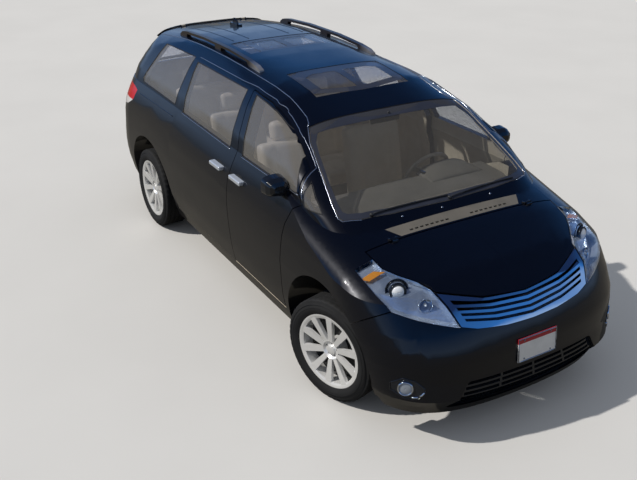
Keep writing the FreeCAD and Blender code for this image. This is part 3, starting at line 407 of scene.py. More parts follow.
# Building helpers. A part is a pair of vertices and faces, in metres.
def add_piece(name, part, look, body="body", smooth=True):
    """Object made of a part, with its finish, riding a body."""
    vertices, faces = part
    mesh = bpy.data.meshes.new(name)
    mesh.from_pydata([tuple(v) for v in vertices], [], faces)
    mesh.materials.append(looks[look])
    mesh.update()
    if smooth:
        mesh.shade_smooth()
    piece = add_object(name, mesh)
    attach(piece, body)
    return piece


def keep_edges(piece, angle_deg=35.0):
    piece.data.set_sharp_from_angle(angle=math.radians(angle_deg))


def bevelled(piece, width, segments=2):
    bevel = piece.modifiers.new("bevel", "BEVEL")
    bevel.width = width
    bevel.segments = segments
    bevel.limit_method = "ANGLE"


def thickened(piece, thickness):
    piece.modifiers.new("thick", "SOLIDIFY").thickness = thickness


def ring_faces(start, following, count):
    """Faces between two rings of points, given by the first index of each."""
    return [(start + k, following + k, following + (k + 1) % count, start + (k + 1) % count)
            for k in range(count)]


def tube_part(points, radius, closed=False, sides=8, flat=1.0):
    """Tube along the points, flattened in height by a share."""
    count = len(points)
    vertices = []
    faces = []
    up = Vector((0, 0, 1))
    for i, centre in enumerate(points):
        before = points[i - 1] if closed or i > 0 else centre
        after = points[(i + 1) % count] if closed or i < count - 1 else centre
        along = (after - before).normalized()
        upright = abs(along.dot(up)) > 0.95
        across = along.cross(Vector((1, 0, 0)) if upright else up).normalized()
        rise = across.cross(along)
        for k in range(sides):
            angle = 2 * math.pi * k / sides
            vertices.append(centre + across * radius * math.cos(angle)
                            + rise * radius * flat * math.sin(angle))
    for i in range(count if closed else count - 1):
        faces += ring_faces(i * sides, (i + 1) % count * sides, sides)
    if not closed:
        faces.append(tuple(range(sides)))
        faces.append(tuple(reversed(range((count - 1) * sides, count * sides))))
    return vertices, faces


def add_tube(name, points, radius, look, body="body", closed=False, sides=8, flat=1.0):
    """Tube through those of the points that lie on something."""
    found = [point for point in points if point]
    return add_piece(name, tube_part(found, radius, closed, sides, flat), look, body)


def spin_profile(profile, segments, shift=None):
    """Closed profile of (x, radius) in millimetres turned about X."""
    count = len(profile)
    vertices = []
    faces = []
    for i in range(segments):
        angle = 2 * math.pi * i / segments
        for j, (x, radius) in enumerate(profile):
            r = radius - (shift(i, j) if shift else 0)
            vertices.append(Vector((x, -r * math.sin(angle), r * math.cos(angle))) * MM)
        faces += ring_faces(i * count, (i + 1) % segments * count, count)
    return vertices, faces


def joined(parts):
    vertices = []
    faces = []
    for part_vertices, part_faces in parts:
        start = len(vertices)
        vertices += part_vertices
        faces += [tuple(start + i for i in face) for face in part_faces]
    return vertices, faces


def moved(part, matrix):
    vertices, faces = part
    return [matrix @ v for v in vertices], faces


def turned(part, centre, angle_deg, axis):
    """Part turned about an axis and set down at a place."""
    return moved(part, Matrix.Translation(centre) @ Matrix.Rotation(math.radians(angle_deg), 4, axis))


def aimed(part, centre, direction):
    """Part built along +X turned to look in a direction."""
    turn = Vector((1, 0, 0)).rotation_difference(direction).to_matrix().to_4x4()
    return moved(part, Matrix.Translation(centre) @ turn)


def box_part(low, high):
    """Block between two corners."""
    xs, ys, zs = ((low[i], high[i]) for i in range(3))
    vertices = [Vector((xs[i], ys[j], zs[k])) for i in (0, 1) for j in (0, 1) for k in (0, 1)]
    faces = [(0, 1, 3, 2), (4, 6, 7, 5), (0, 4, 5, 1), (2, 3, 7, 6), (0, 2, 6, 4), (1, 5, 7, 3)]
    return vertices, faces


def quarter_arc(depth, radius):
    """Points of (x, radius) from a depth on the axis out to the radius."""
    angles = [math.pi / 2 * k / 8 for k in range(9)]
    return [(depth * math.cos(angle), max(0.01, radius * math.sin(angle))) for angle in angles]


def bowl(radius, depth):
    outer_edge = [(0, radius + 3), (-depth - 3, radius * 0.4 + 3), (-depth - 3, 0.01)]
    return spin_profile(quarter_arc(-depth, radius) + outer_edge, 40)


def dome(radius, rise):
    return spin_profile(quarter_arc(rise, radius) + [(-4, radius), (-4, 0.01)], 36)


# Search trees, and points on what they hold, lifted off it in millimetres
def tree_of(*names):
    """Search tree over the faces of these nodes."""
    vertices = []
    faces = []
    for name in names:
        mesh = nodes[name].data
        start = len(vertices)
        vertices += [v.co.copy() for v in mesh.vertices]
        faces += [[start + i for i in face.vertices] for face in mesh.polygons]
    return BVHTree.FromPolygons(vertices, faces)


outer_tree = tree_of("hood", "front_bumper", "fenders", "rear_bumper", "roof_panel", "tailgate",
                     "side_frame_left", "side_frame_right", *DOORS, "sliding_doors", "cowl_panel",
                     "cowl_vent", "windshield", "front_door_glass_left", "front_door_glass_right",
                     "side_glass", "rear_glass", "roof_glass", "headlamps", "grille", "tail_lamps",
                     "fog_lamps")


OUTSIDE_X = 1500
ABOVE_Z = 2500
AHEAD_D = -600
BEHIND_D = 5600


def hit_point(tree, start, direction, lift):
    hit, normal, _, _ = tree.ray_cast(start, Vector(direction))
    return hit + normal * lift * MM if hit else None


def side_point(tree, side, d, z, lift=0.0):
    return hit_point(tree, place(side * OUTSIDE_X, d, z), (-side, 0, 0), lift)


def top_point(tree, x, d, lift=0.0):
    return hit_point(tree, place(x, d, ABOVE_Z), (0, 0, -1), lift)


def front_point(tree, x, z, lift=0.0):
    return hit_point(tree, place(x, AHEAD_D, z), (0, 1, 0), lift)


def rear_point(tree, x, z, lift=0.0):
    return hit_point(tree, place(x, BEHIND_D, z), (0, -1, 0), lift)


DOOR_SLANT = 0.28
WIDEST_X = 0.995


def slanted_point(tree, side, d, z, lift):
    """Point on the body beside a door's edge, which leans forwards towards the roof."""
    first = side_point(outer_tree, side, d, z)
    return side_point(tree, side, d - DOOR_SLANT * (WIDEST_X - abs(first.x)) / MM, z, lift)


# Flat outlines and what is drawn along them
def spread(outline, step=None, closed=True, steps=None):
    """Outline with points added along it, at about a spacing or as many on every edge."""
    result = []
    count = len(outline)
    for i in range(count if closed else count - 1):
        a, b = outline[i], outline[(i + 1) % count]
        pieces = steps or max(1, round(math.dist(a, b) / step))
        for k in range(pieces):
            t = k / pieces
            result.append((a[0] + (b[0] - a[0]) * t, a[1] + (b[1] - a[1]) * t))
    if not closed:
        result.append(outline[-1])
    return result


def grown(outline, amount):
    """Closed outline drawn outwards, whichever way it runs."""
    count = len(outline)
    area = sum(outline[i][0] * outline[(i + 1) % count][1] - outline[(i + 1) % count][0] * outline[i][1]
               for i in range(count))
    turn = 1 if area > 0 else -1
    result = []
    for i in range(count):
        before, here, after = (Vector(outline[(i + k) % count]) for k in (-1, 0, 1))
        first = (here - before).normalized()
        second = (after - here).normalized()
        square_in = Vector((-first.y, first.x)) * turn
        inward = Vector((-first.y - second.y, first.x + second.x)) * turn
        if inward.length < 1e-6:
            inward = square_in.copy()
        inward.normalize()
        reach = -amount / max(0.35, inward.dot(square_in))
        result.append((here.x + inward.x * reach, here.y + inward.y * reach))
    return result


def mirrored_outline(outline):
    """Outline for +X closed over both sides."""
    return outline + [(-x, v) for x, v in reversed(outline) if x]


def add_border(name, point_at, outer, inner, steps=8, body="body"):
    """Flat dark border on a glass, between two outlines with the same corners."""
    rows = zip(spread(outer, steps=steps), spread(inner, steps=steps))
    pairs = [(point_at(*a), point_at(*b)) for a, b in rows]
    pairs = [(a, b) for a, b in pairs if a and b]
    count = len(pairs)
    faces = [(i, (i + 1) % count, count + (i + 1) % count, count + i) for i in range(count)]
    add_piece(name, ([a for a, b in pairs] + [b for a, b in pairs], faces), "frit_band", body)


def add_patch(name, point_at, low, high, columns, rows, look, body="body"):
    """Rectangle laid on a surface, leaving out the squares with a corner off it."""
    points = []
    for i in range(columns + 1):
        for j in range(rows + 1):
            points.append(point_at(low[0] + (high[0] - low[0]) * i / columns,
                                   low[1] + (high[1] - low[1]) * j / rows))
    corners = [i * (rows + 1) + j for i in range(columns) for j in range(rows)]
    squares = [(a, a + rows + 1, a + rows + 2, a + 1) for a in corners]
    squares = [square for square in squares if all(points[k] for k in square)]
    used = sorted({k for square in squares for k in square})
    order = {k: index for index, k in enumerate(used)}
    faces = [tuple(order[k] for k in square) for square in squares]
    return add_piece(name, ([points[k] for k in used], faces), look, body)


def side_line(name, outline, radius, look, lift=0.5, tree=outer_tree, bodies=("body", "body"), closed=False,
              step=25, point_at=side_point):
    """Round strip along both sides of the body."""
    for body, (side, side_name) in zip(bodies, BOTH_SIDES):
        points = [point_at(tree, side, d, z, lift) for d, z in spread(outline, step, closed)]
        add_tube(f"{name}_{side_name}", points, radius * MM, look, body, closed, 6)


def top_line(name, outline, radius, look, lift=0.5):
    points = [top_point(outer_tree, x, d, lift) for x, d in spread(outline, 25, False)]
    add_tube(name, points, radius * MM, look, sides=6)


# Wheels. A wheel is built about its own centre with its outside towards +X, then placed.
TYRE_HALF = 117.5
TYRE_RADIUS = 355.0
TREAD_SEGMENTS = 144
TREAD_EDGE_X = 66
GROOVE_DEPTH = 7.0
GROOVE_PLACES = (-62, -22, 22, 62)
LUG_COUNT = 5
LUG_RADIUS = 44.46
LUG_PROFILE = [(54, 0.01), (54, 7.2), (62, 7.2), (64, 5.5), (64, 0.01)]
CAP_PROFILE = [(74, 0.01), (74, 28), (77.5, 26), (78.5, 22), (77.8, 0.01)]
# Dish behind the spokes: partly the brake parts, partly painted shade that darkens the gaps between them.
BRAKE_AND_SHADE_PROFILE = [(30, 206), (4, 190), (-12, 120), (-12, 66), (-16, 66), (-16, 124), (0, 196), (26, 211)]
VALVE_PROFILE = [(60, 0.01), (60, 3.5), (84, 3.5), (86, 2.5), (86, 0.01)]
VALVE_RADIUS = 218


def wheel_matrix(side, axle):
    turn = STEER_REST_DEG if axle == FRONT_AXLE else 0.0
    kingpin = place(side * KINGPIN_X, axle, 0)
    steer = (Matrix.Translation(kingpin) @ Matrix.Rotation(math.radians(turn), 4, "Z")
             @ Matrix.Translation(-kingpin))
    centre = Matrix.Translation(place(side * WHEEL_CENTRE_X, axle, AXLE_HEIGHT))
    return steer @ centre @ Matrix.Rotation(0.0 if side > 0 else math.pi, 4, "Z")


def tyre_part():
    """Tyre with a rounded shoulder, four grooves round it and cuts across its ribs."""
    half = [(-92, 240), (-98, 252), (-104, 262)]
    for k in range(9):
        t = k / 8
        half.append((-104 - 13.3 * math.sin(math.pi * min(1.0, t * 1.15)) + 4 * t, 262 + 83 * t))
    half += [(-96, 352), (-90, 354)]
    tread = [(-88, TYRE_RADIUS)]
    groove_floor = TYRE_RADIUS - GROOVE_DEPTH
    for centre in GROOVE_PLACES:
        tread += [(centre - 6, TYRE_RADIUS), (centre - 4.5, groove_floor), (centre + 4.5, groove_floor),
                  (centre + 6, TYRE_RADIUS)]
    tread.append((88, TYRE_RADIUS))
    profile = half + tread + [(-x, r) for x, r in reversed(half)] + [(86, 239), (0, 236), (-86, 239)]

    def cut(i, j):
        x, radius = profile[j]
        on_edge = abs(x) > TREAD_EDGE_X
        on_cut = (i + (x > 0)) % (3 if on_edge else 4) == 0
        if not on_cut or radius <= groove_floor + 1:
            return 0.0
        return 5.0 if on_edge else 3.5

    return spin_profile(profile, TREAD_SEGMENTS, cut)


def side_ring(x, radius, width, height):
    """Raised ring on the tyre's wall."""
    return spin_profile([(x, radius), (x + height, radius + 1), (x + height, radius + width - 1),
                         (x, radius + width)], 96)


def lug_nuts():
    angles = [2 * math.pi * index / LUG_COUNT for index in range(LUG_COUNT)]
    spots = [Vector((0, LUG_RADIUS * math.sin(angle), LUG_RADIUS * math.cos(angle))) * MM for angle in angles]
    return joined(moved(spin_profile(LUG_PROFILE, 6), Matrix.Translation(spot)) for spot in spots)


valve_part = moved(spin_profile(VALVE_PROFILE, 10), Matrix.Translation((0, 0, VALVE_RADIUS * MM)))
rings_part = joined([side_ring(TYRE_HALF - 3.5, 300, 5, 2.5), side_ring(TYRE_HALF - 7, 322, 3, 2.5)])
wheel_parts = (
    ("treaded_tyre", tyre_part(), "tyre_rubber", "tyre", 40),
    ("tyre_rings", rings_part, "tyre_rubber", "tyre", 35),
    ("lug_nuts", lug_nuts(), "steel", "steel", 35),
    ("centre_cap", spin_profile(CAP_PROFILE, 40), "alloy", "alloy", 35),
    ("valve", valve_part, "rubber", "tyre", 35),
    # Painted shade: near-black dish seen through the spoke gaps.
    ("brake_and_shade_dish", spin_profile(BRAKE_AND_SHADE_PROFILE, 72), "shaded_brake_iron", "iron", 35),
)
for side, side_name in BOTH_SIDES:
    for axle, axle_name in ((FRONT_AXLE, "front"), (REAR_AXLE, "rear")):
        label = f"{axle_name}_{side_name}"
        for name, part, look, slot, angle_deg in wheel_parts:
            piece = add_piece(f"{name}_{label}", moved(part, wheel_matrix(side, axle)), look,
                              f"wheel_{label}")
            keep_edges(piece, angle_deg)
            if name == "treaded_tyre":
                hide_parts(f"tyre_{label}")

# Headlamps: a clear lens over a housing with a projector, whose lens is a white dome painted as its
# highlight, a beam bowl and an amber reflector
LENS_THICKNESS = 0.003
LENS_FACING = 0.45
SURROUND_PROFILE = [(-30, 50), (-22, 66), (-20, 70), (-26, 72), (-34, 52)]
PROJECTOR_PROFILE = [(-22, 44), (-22, 50), (6, 52), (8, 48), (4, 40), (-10, 38)]


def headlamp_part(outside):
    """Faces of the headlamps that look out of the car, or all the others."""
    mesh = nodes["headlamps"].data
    used = {}
    vertices = []
    faces = []
    for face in mesh.polygons:
        outward = Vector((0.45 if face.center.x > 0 else -0.45, -0.75, 0.5)).normalized()
        if (face.normal.dot(outward) > LENS_FACING) != outside:
            continue
        row = []
        for i in face.vertices:
            key = tuple(round(c, 5) for c in mesh.vertices[i].co)
            if key not in used:
                used[key] = len(vertices)
                vertices.append(mesh.vertices[i].co.copy())
            row.append(used[key])
        if len(set(row)) == len(row):
            faces.append(tuple(row))
    return vertices, faces


lens = add_piece("headlamp_lenses", headlamp_part(True), "lens_clear")
thickened(lens, LENS_THICKNESS)
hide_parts("headlamps")
add_piece("headlamp_housings", headlamp_part(False), "lamp_chrome", smooth=False)
lamp_tree = tree_of("headlamps")
for side, side_name in BOTH_SIDES:
    look_out = Vector((side * 0.35, -0.9, 0.12)).normalized()
    projector = front_point(lamp_tree, side * 742, 935) + Vector((0, 40 * MM, 0))
    beam = front_point(lamp_tree, side * 640, 880) + Vector((0, 42 * MM, 0))
    add_piece(f"projector_surround_{side_name}",
              aimed(spin_profile(SURROUND_PROFILE, 48), projector, look_out), "gloss_black")
    add_patch(f"side_reflector_{side_name}", lambda d, z: side_point(lamp_tree, side, d, z, -5), (590, 968),
              (630, 1000), 20, 12, "amber")
    for name, part, centre, look in (
            ("projector_ring", spin_profile(PROJECTOR_PROFILE, 48), projector, "gloss_black"),
            # Painted highlight: the projector lens is an opaque white dome.
            ("projector_lens_highlight", dome(38, 20), projector, "bulb_and_highlight_white"),
            ("beam_bowl", bowl(40, 34), beam, "mirror_silver"),
            ("beam_bulb", dome(9, 24), beam - look_out * 0.02, "bulb_and_highlight_white")):
        add_piece(f"{name}_{side_name}", aimed(part, centre, look_out), look)

# Painted highlights: bright metal strips over the doors, along the roof and beside the windshield stand in
# for the sun's glints on those edges. The belt strips under the windows are partly real bright moulding and
# partly painted glint.
# Outlines on a side are given by distance and height, and on top by width and distance.
DOOR_TOP = [(1350, 1205), (1466, 1366), (1608, 1443), (1702, 1490), (1808, 1527), (1950, 1566), (2089, 1599),
            (2212, 1618), (2506, 1634), (3540, 1626)]
TRIM_RADIUS = 3.5
DITCH = [(612, 1706), (591, 1728), (567, 1792), (553, 1960), (545, 2300), (544, 4540)]
SCREEN_EDGE = [(640, 992), (752, 1034), (769, 1066), (760, 1141), (728, 1300), (687, 1487), (667, 1583),
               (615, 1698)]
body_tree = tree_of("fenders", "side_frame_left", "side_frame_right", "roof_panel", "cowl_panel", "hood")
# Painted highlights: strips that stand in for glints along the door tops, roof ditches and windshield edges.
side_line("door_top_glint", DOOR_TOP, 3, "bright_metal_and_glint", tree=body_tree, point_at=slanted_point)
for side, side_name in BOTH_SIDES:
    for name, outline in (("roof_ditch_glint", DITCH), ("screen_edge_glint", SCREEN_EDGE)):
        top_line(f"{name}_{side_name}", [(side * x, d) for x, d in outline], 3.2, "bright_metal_and_glint")
# Belt strips: partly real bright moulding, partly painted glint.
side_line("front_belt", [(1368, 1226), (2180, 1222)], TRIM_RADIUS, "bright_metal_and_glint",
          tree=tree_of(*DOORS), bodies=DOORS)
side_line("middle_belt", [(2372, 1221), (3306, 1229)], TRIM_RADIUS, "bright_metal_and_glint",
          tree=tree_of("sliding_doors"))
side_line("slide_track", [(3440, 1168), (4235, 1160)], 4, "gloss_black", 0.0)

# Borders on the glass, ribs on the roof and seals round the windows
SCREEN_OUTER = [(0, 952), (420, 968), (634, 1000), (742, 1038), (758, 1068), (750, 1141), (718, 1300),
                (677, 1487), (657, 1583), (606, 1688), (300, 1685), (0, 1685)]
SCREEN_INNER = [(0, 992), (420, 1006), (616, 1034), (700, 1062), (722, 1088), (722, 1141), (694, 1300),
                (652, 1487), (628, 1570), (580, 1628), (300, 1620), (0, 1618)]
BORDER_LIFT = 0.7
ROOF_GLASS_HALF = 388
ROOF_CLEAR_HALF = 306
ROOF_BAR_HALF = 32
# Each roof glass: label, front and rear edge, width of its front and rear border
ROOF_GLASSES = (("front", 1952, 2396, 56, 92), ("rear", 2980, 3350, 48, 62))
SEALS = {
    "front_seal": [(1383, 1237), (1452, 1330), (1526, 1413), (1615, 1462), (1705, 1499), (1796, 1523),
                   (1912, 1552), (2017, 1576), (2165, 1589), (2334, 1599), (2170, 1233)],
    "slide_seal": [(2378, 1231), (2490, 1601), (3418, 1592), (3296, 1240)],
    "quarter_seal": [(3485, 1255), (3513, 1612), (4126, 1594), (4265, 1283), (4240, 1262)],
    "vent_seal": [(1150, 1170), (1200, 1208), (1322, 1288), (1344, 1302), (1334, 1262), (1292, 1176)],
}


def rectangle(half, near, far):
    return [(-half, near), (half, near), (half, far), (-half, far)]


screen_tree = tree_of("windshield")
roof_glass_tree = tree_of("roof_glass")
add_border("screen_border", lambda x, d: top_point(screen_tree, x, d, BORDER_LIFT),
           mirrored_outline(SCREEN_OUTER), mirrored_outline(SCREEN_INNER))
for label, near, far, front_width, rear_width in ROOF_GLASSES:
    clear_near, clear_far = near + front_width, far - rear_width
    add_border(f"roof_border_{label}", lambda x, d: top_point(roof_glass_tree, x, d, BORDER_LIFT),
               rectangle(ROOF_GLASS_HALF, near, far), rectangle(ROOF_CLEAR_HALF, clear_near, clear_far))
    add_patch(f"roof_bar_{label}", lambda x, d: top_point(roof_glass_tree, x, d, 0.9),
              (-ROOF_BAR_HALF, clear_near - 4), (ROOF_BAR_HALF, clear_far + 4), 10, 10, "frit_band")
for index, x in enumerate((-330, -190, 190, 330)):
    top_line(f"roof_rib_{index}", [(x, 3420), (x, 4380)], 4, "paint_only", -1.0)
for label, outline in SEALS.items():
    side_line(label, grown(outline, 3), TRIM_RADIUS, "rubber", -1.0,
              bodies=DOORS if label == "front_seal" else ("body", "body"), closed=True, step=40)

# Wipers: arms on their pivots, with the blades lying low on the glass
WIPER_STEPS = 14
WIPER_CAP_PROFILE = [(-14, 0.01), (-14, 15), (4, 15), (8, 11), (9, 0.01)]
for label, pivot, tip in (("left", (30, 968), (610, 1012)), ("right", (-560, 1002), (20, 985))):
    row = [top_point(outer_tree, x, d, 9) for x, d in spread([pivot, tip], closed=False, steps=WIPER_STEPS)]
    arm = add_tube(f"wiper_arm_{label}", row[:9], 0.006, "black_plastic", flat=0.6)
    if label == "left":
        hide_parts("wipers")
    blade = [point - Vector((0, 0, 0.004)) for point in row[3:]]
    add_tube(f"wiper_blade_{label}", blade, 0.005, "rubber", sides=6)
    add_piece(f"wiper_cap_{label}",
              turned(spin_profile(WIPER_CAP_PROFILE, 20), top_point(outer_tree, *pivot, 6), -90, "Y"),
              "black_plastic")
for index, (x, d) in enumerate(((-375, 930), (-70, 915), (340, 925))):
    jet = turned(dome(7, 6), top_point(outer_tree, x, d, 2), -90, "Y")
    add_piece(f"washer_jet_{index}", jet, "bright_metal_and_glint")

# Fog lamps, each a round lamp in a dark bezel with a bright rim
FOG_RING_PROFILE = [(-6, 37), (8, 39), (11, 43), (8, 47), (-6, 48)]
FOG_BEZEL = [(738, 432), (786, 482), (836, 496), (880, 448), (876, 404), (826, 366), (768, 374)]
FOG_TRIM = [(742, 414), (764, 382), (800, 376)]
for side, side_name in BOTH_SIDES:
    centre = front_point(outer_tree, side * 826, 432, 3)
    look_out = Vector((side * 0.62, -0.78, 0.05)).normalized()
    add_piece(f"fog_ring_{side_name}", aimed(spin_profile(FOG_RING_PROFILE, 48), centre, look_out), "chrome")
    add_piece(f"fog_lens_{side_name}", aimed(dome(38, 9), centre, look_out), "fog_face")
    edge = [front_point(outer_tree, side * x, z, 1.0) for x, z in spread(grown(FOG_BEZEL, 3), 12)]
    add_tube(f"fog_edge_{side_name}", edge, 0.003, "gloss_black", closed=True)
    trim = [front_point(outer_tree, side * x, z, 1.0) for x, z in spread(FOG_TRIM, 8, False)]
    add_tube(f"fog_trim_{side_name}", trim, 0.006, "chrome")

# Plate frame and screws
PLATE_EDGE = [(-149, 489), (149, 489), (149, 637), (-149, 637)]
plate_tree = tree_of("front_plate")
add_tube("plate_frame", [front_point(plate_tree, x, z, 1.0) for x, z in spread(PLATE_EDGE, 60)], 0.004,
         "bright_metal_and_glint", closed=True)
for index, (x, z) in enumerate(((-105, 622), (105, 622), (-105, 503), (105, 503))):
    screw = aimed(dome(6, 3), front_point(plate_tree, x, z, 0.5), Vector((0, -1, 0)))
    add_piece(f"plate_screw_{index}", screw, "steel")


# Door handles: dark cups behind the grips, and a lock beside the front ones
def side_disc(name, side, middle, radii, look, body):
    """Oval laid on the side of the doors."""
    sides = 32
    lift = 0.6
    vertices = [side_point(door_tree, side, *middle, lift)]
    for ring in (1, 2, 3):
        for k in range(sides):
            angle = 2 * math.pi * k / sides
            vertices.append(side_point(door_tree, side, middle[0] + radii[0] * ring / 3 * math.cos(angle),
                                       middle[1] + radii[1] * ring / 3 * math.sin(angle), lift))
    faces = [(0, 1 + k, 1 + (k + 1) % sides) for k in range(sides)]
    for ring in (0, 1):
        faces += ring_faces(1 + ring * sides, 1 + (ring + 1) * sides, sides)
    add_piece(name, (vertices, faces), look, body)


HANDLE_HEIGHT = 1078
door_tree = tree_of(*DOORS, "sliding_doors")
for door, (side, side_name) in zip(DOORS, BOTH_SIDES):
    for name, d, radii, look, body in (("front_handle_cup", 2112, (66, 38), "screen_black", door),
                                       ("slide_handle_cup", 2450, (66, 38), "screen_black", "body"),
                                       ("lock", 2222, (9, 9), "bright_metal_and_glint", door)):
        side_disc(f"{name}_{side_name}", side, (d, HANDLE_HEIGHT), radii, look, body)

# Mirrors: glass on the rear face
MIRROR_PROFILE = [(0, 0.01), (0, 60), (3, 58), (3, 0.01)]
for door, (side, side_name) in zip(DOORS, BOTH_SIDES):
    pane = moved(spin_profile(MIRROR_PROFILE, 40), Matrix.Diagonal((1, 1.25, 1, 1)))
    pane = turned(pane, place(side * 950, 1588, 1240), 90, "Z")
    add_piece(f"mirror_glass_{side_name}", pane, "mirror_silver", door)

# Fuel door, shown by its shut line
FUEL_DOOR = [(3720, 930), (3870, 930), (3890, 950), (3890, 1080), (3870, 1100), (3720, 1100), (3700, 1080),
             (3700, 950)]
add_tube("fuel_door_line", [side_point(outer_tree, 1, d, z) for d, z in spread(FUEL_DOOR, 25)], 0.002,
         "gloss_black", closed=True, sides=6)

# Rear: blank plate, bumper step, handle bar, wiper, reflectors and the glass border
REAR_OUTER = [(0, 1566), (330, 1560), (424, 1543), (552, 1330), (563, 1292), (536, 1278), (0, 1268)]
REAR_INNER = [(0, 1534), (310, 1530), (396, 1516), (510, 1330), (516, 1312), (505, 1306), (0, 1300)]
tail_tree = tree_of("tailgate", "rear_glass", "rear_bumper", "tail_lamps")


def rear_patch(name, low, high, look, body, lift=1.0, columns=12, rows=6):
    """Rectangle laid on the rear, from one (x, z) corner to the other."""
    add_patch(name, lambda x, z: rear_point(tail_tree, x, z, lift), low, high, columns, rows, look, body)


rear_patch("plate_recess", (-270, 760), (270, 925), "gloss_black", "tailgate", 0.8)
rear_patch("rear_plate", (-152, 775), (152, 905), "plate_rear", "tailgate", 3.0)
rear_patch("rear_bumper_step", (-480, 640), (480, 652), "black_plastic", "body", 1.0, 24, 2)
bar = [rear_point(tail_tree, x, 948, 4) for x in range(-330, 331, 30)]
add_tube("tail_handle_bar", bar, 0.012, "chrome", "tailgate", sides=10, flat=0.8)
blade = [rear_point(tail_tree, x, 1292 + abs(x - 40) * 0.05, 9) for x in range(-250, 331, 29)]
add_tube("rear_wiper_blade", blade, 0.005, "rubber", "tailgate", sides=6)
arm = [rear_point(tail_tree, x, 1262 + (30 - x) * 0.10, 13) for x in range(-200, 31, 23)]
add_tube("rear_wiper_arm", arm, 0.007, "black_plastic", "tailgate", flat=0.6)
cap = aimed(dome(17, 14), rear_point(tail_tree, 30, 1258, 2), Vector((0, 1, 0.2)).normalized())
add_piece("rear_wiper_cap", cap, "black_plastic", "tailgate")
for side, side_name in BOTH_SIDES:
    low, high = sorted((side * 700, side * 820))
    rear_patch(f"rear_reflector_{side_name}", (low, 500), (high, 530), "tail_red", "body", 1.0, 8, 2)
rear_glass_tree = tree_of("rear_glass")
add_border("rear_glass_border", lambda x, z: rear_point(rear_glass_tree, x, z, BORDER_LIFT),
           mirrored_outline(REAR_OUTER), mirrored_outline(REAR_INNER), 6, "tailgate")


# Inside: dashboard's instruments, middle console, shifter, mirror, visors and stalks
def block(name, low, high, look, bevel=0.008):
    """Rounded block between two (x, d, z) corners."""
    piece = add_piece(name, box_part(place(*low), place(*high)), look, smooth=False)
    bevelled(piece, bevel, 3)


DRIVER_X = 400
HOOD_HALF = 230
HOOD_NEAR = 1330
HOOD_LENGTH = 190
HOOD_LOW = 1106
HOOD_RISE = 58
DIAL_DEPTH = 1513
KNOB_DEPTH = 1563
KNOB_PROFILE = [(0, 0.01), (0, 17), (16, 15), (18, 12), (18, 0.01)]
CUP_PROFILE = [(0, 0.01), (0, 42), (5, 42), (5, 36), (1, 35), (1, 0.01)]


def hood_point(x, d):
    """Point on the hood over the cluster, which rises to the rear and falls off to its sides."""
    rise = math.sin(math.pi / 2 * (d - HOOD_NEAR) / HOOD_LENGTH) ** 0.8
    fall = max(0.0, 1 - (abs(x - DRIVER_X) / HOOD_HALF) ** 2.6)
    return place(x, d, HOOD_LOW + HOOD_RISE * rise * fall)


hood = add_patch("cluster_hood", hood_point, (DRIVER_X - HOOD_HALF, HOOD_NEAR),
                 (DRIVER_X + HOOD_HALF, HOOD_NEAR + HOOD_LENGTH), 24, 10, "trim_grey")
thickened(hood, 0.012)
block("cluster_back", (190, 1455, 1020), (570, 1512, 1130), "screen_black")
for index, (x, radius) in enumerate(((300, 50), (400, 34), (480, 50))):
    dial = [(0, 0.01), (0, radius), (3, radius), (3, radius - 5), (1, radius - 6), (1, 0.01)]
    add_piece(f"dial_{index}", turned(spin_profile(dial, 40), place(x, DIAL_DEPTH, 1078), 90, "Z"),
              "dial_face")
block("centre_stack", (-165, 1380, 700), (165, 1560, 1075), "trim_grey", 0.02)
block("screen", (-110, 1556, 940), (110, 1564, 1045), "screen_black", 0.004)
block("controls", (-120, 1556, 815), (120, 1564, 905), "dark_wood", 0.006)
for index, x in enumerate((-70, 0, 70)):
    knob = turned(spin_profile(KNOB_PROFILE, 24), place(x, KNOB_DEPTH, 860), 90, "Z")
    add_piece(f"knob_{index}", knob, "alloy")
for index, x in enumerate((-660, -240, 240, 660)):
    block(f"air_vent_{index}", (x - 55, 1528, 965), (x + 55, 1552, 1035), "black_plastic", 0.01)
    for row in range(4):
        z = 976 + row * 14
        block(f"vent_blade_{index}_{row}", (x - 48, 1548, z), (x + 48, 1556, z + 4), "trim_grey", 0.001)
block("glove_box", (-620, 1500, 760), (-230, 1540, 900), "beige_trim", 0.02)
block("lower_dash_left", (230, 1500, 760), (640, 1536, 900), "beige_trim", 0.02)
block("console", (-115, 1600, 360), (115, 2250, 610), "beige_trim", 0.03)
block("console_lid", (-108, 1960, 610), (108, 2240, 650), "leather", 0.018)
for index, d in enumerate((1780, 1890)):
    cup = turned(spin_profile(CUP_PROFILE, 30), place(0, d, 609), -90, "Y")
    add_piece(f"cup_ring_{index}", cup, "black_plastic")
shifter = [place(120, 1560, 800), place(120, 1610, 830), place(118, 1640, 880)]
add_tube("shifter", shifter, 0.012, "steel", sides=10)
block("shifter_knob", (95, 1625, 870), (140, 1665, 925), "leather_dark", 0.014)
mirror_stem = [place(0, 1640, 1560), place(0, 1665, 1535), place(0, 1672, 1510)]
add_tube("inner_mirror_stem", mirror_stem, 0.007, "black_plastic")
block("inner_mirror", (-120, 1672, 1475), (120, 1698, 1535), "black_plastic", 0.01)
block("inner_mirror_glass", (-112, 1697, 1481), (112, 1700, 1529), "mirror_silver", 0.001)
for side, side_name in BOTH_SIDES:
    low, high = sorted((side * 170, side * 470))
    block(f"visor_{side_name}", (low, 1750, 1520), (high, 1880, 1534), "beige_trim", 0.006)
for index, direction in enumerate((-1, 1)):
    stalk = [place(380 + direction * 40, 1600, 990), place(380 + direction * 150, 1612, 1000)]
    add_tube(f"stalk_{index}", stalk, 0.008, "black_plastic", sides=10)

# Seats: soft pads with bolsters, sewn channels and headrests
PAD_STEPS = 20
CHANNEL_DEPTH = 7
CHANNEL_WIDTH = 0.035
BACK_TILT = 78.0
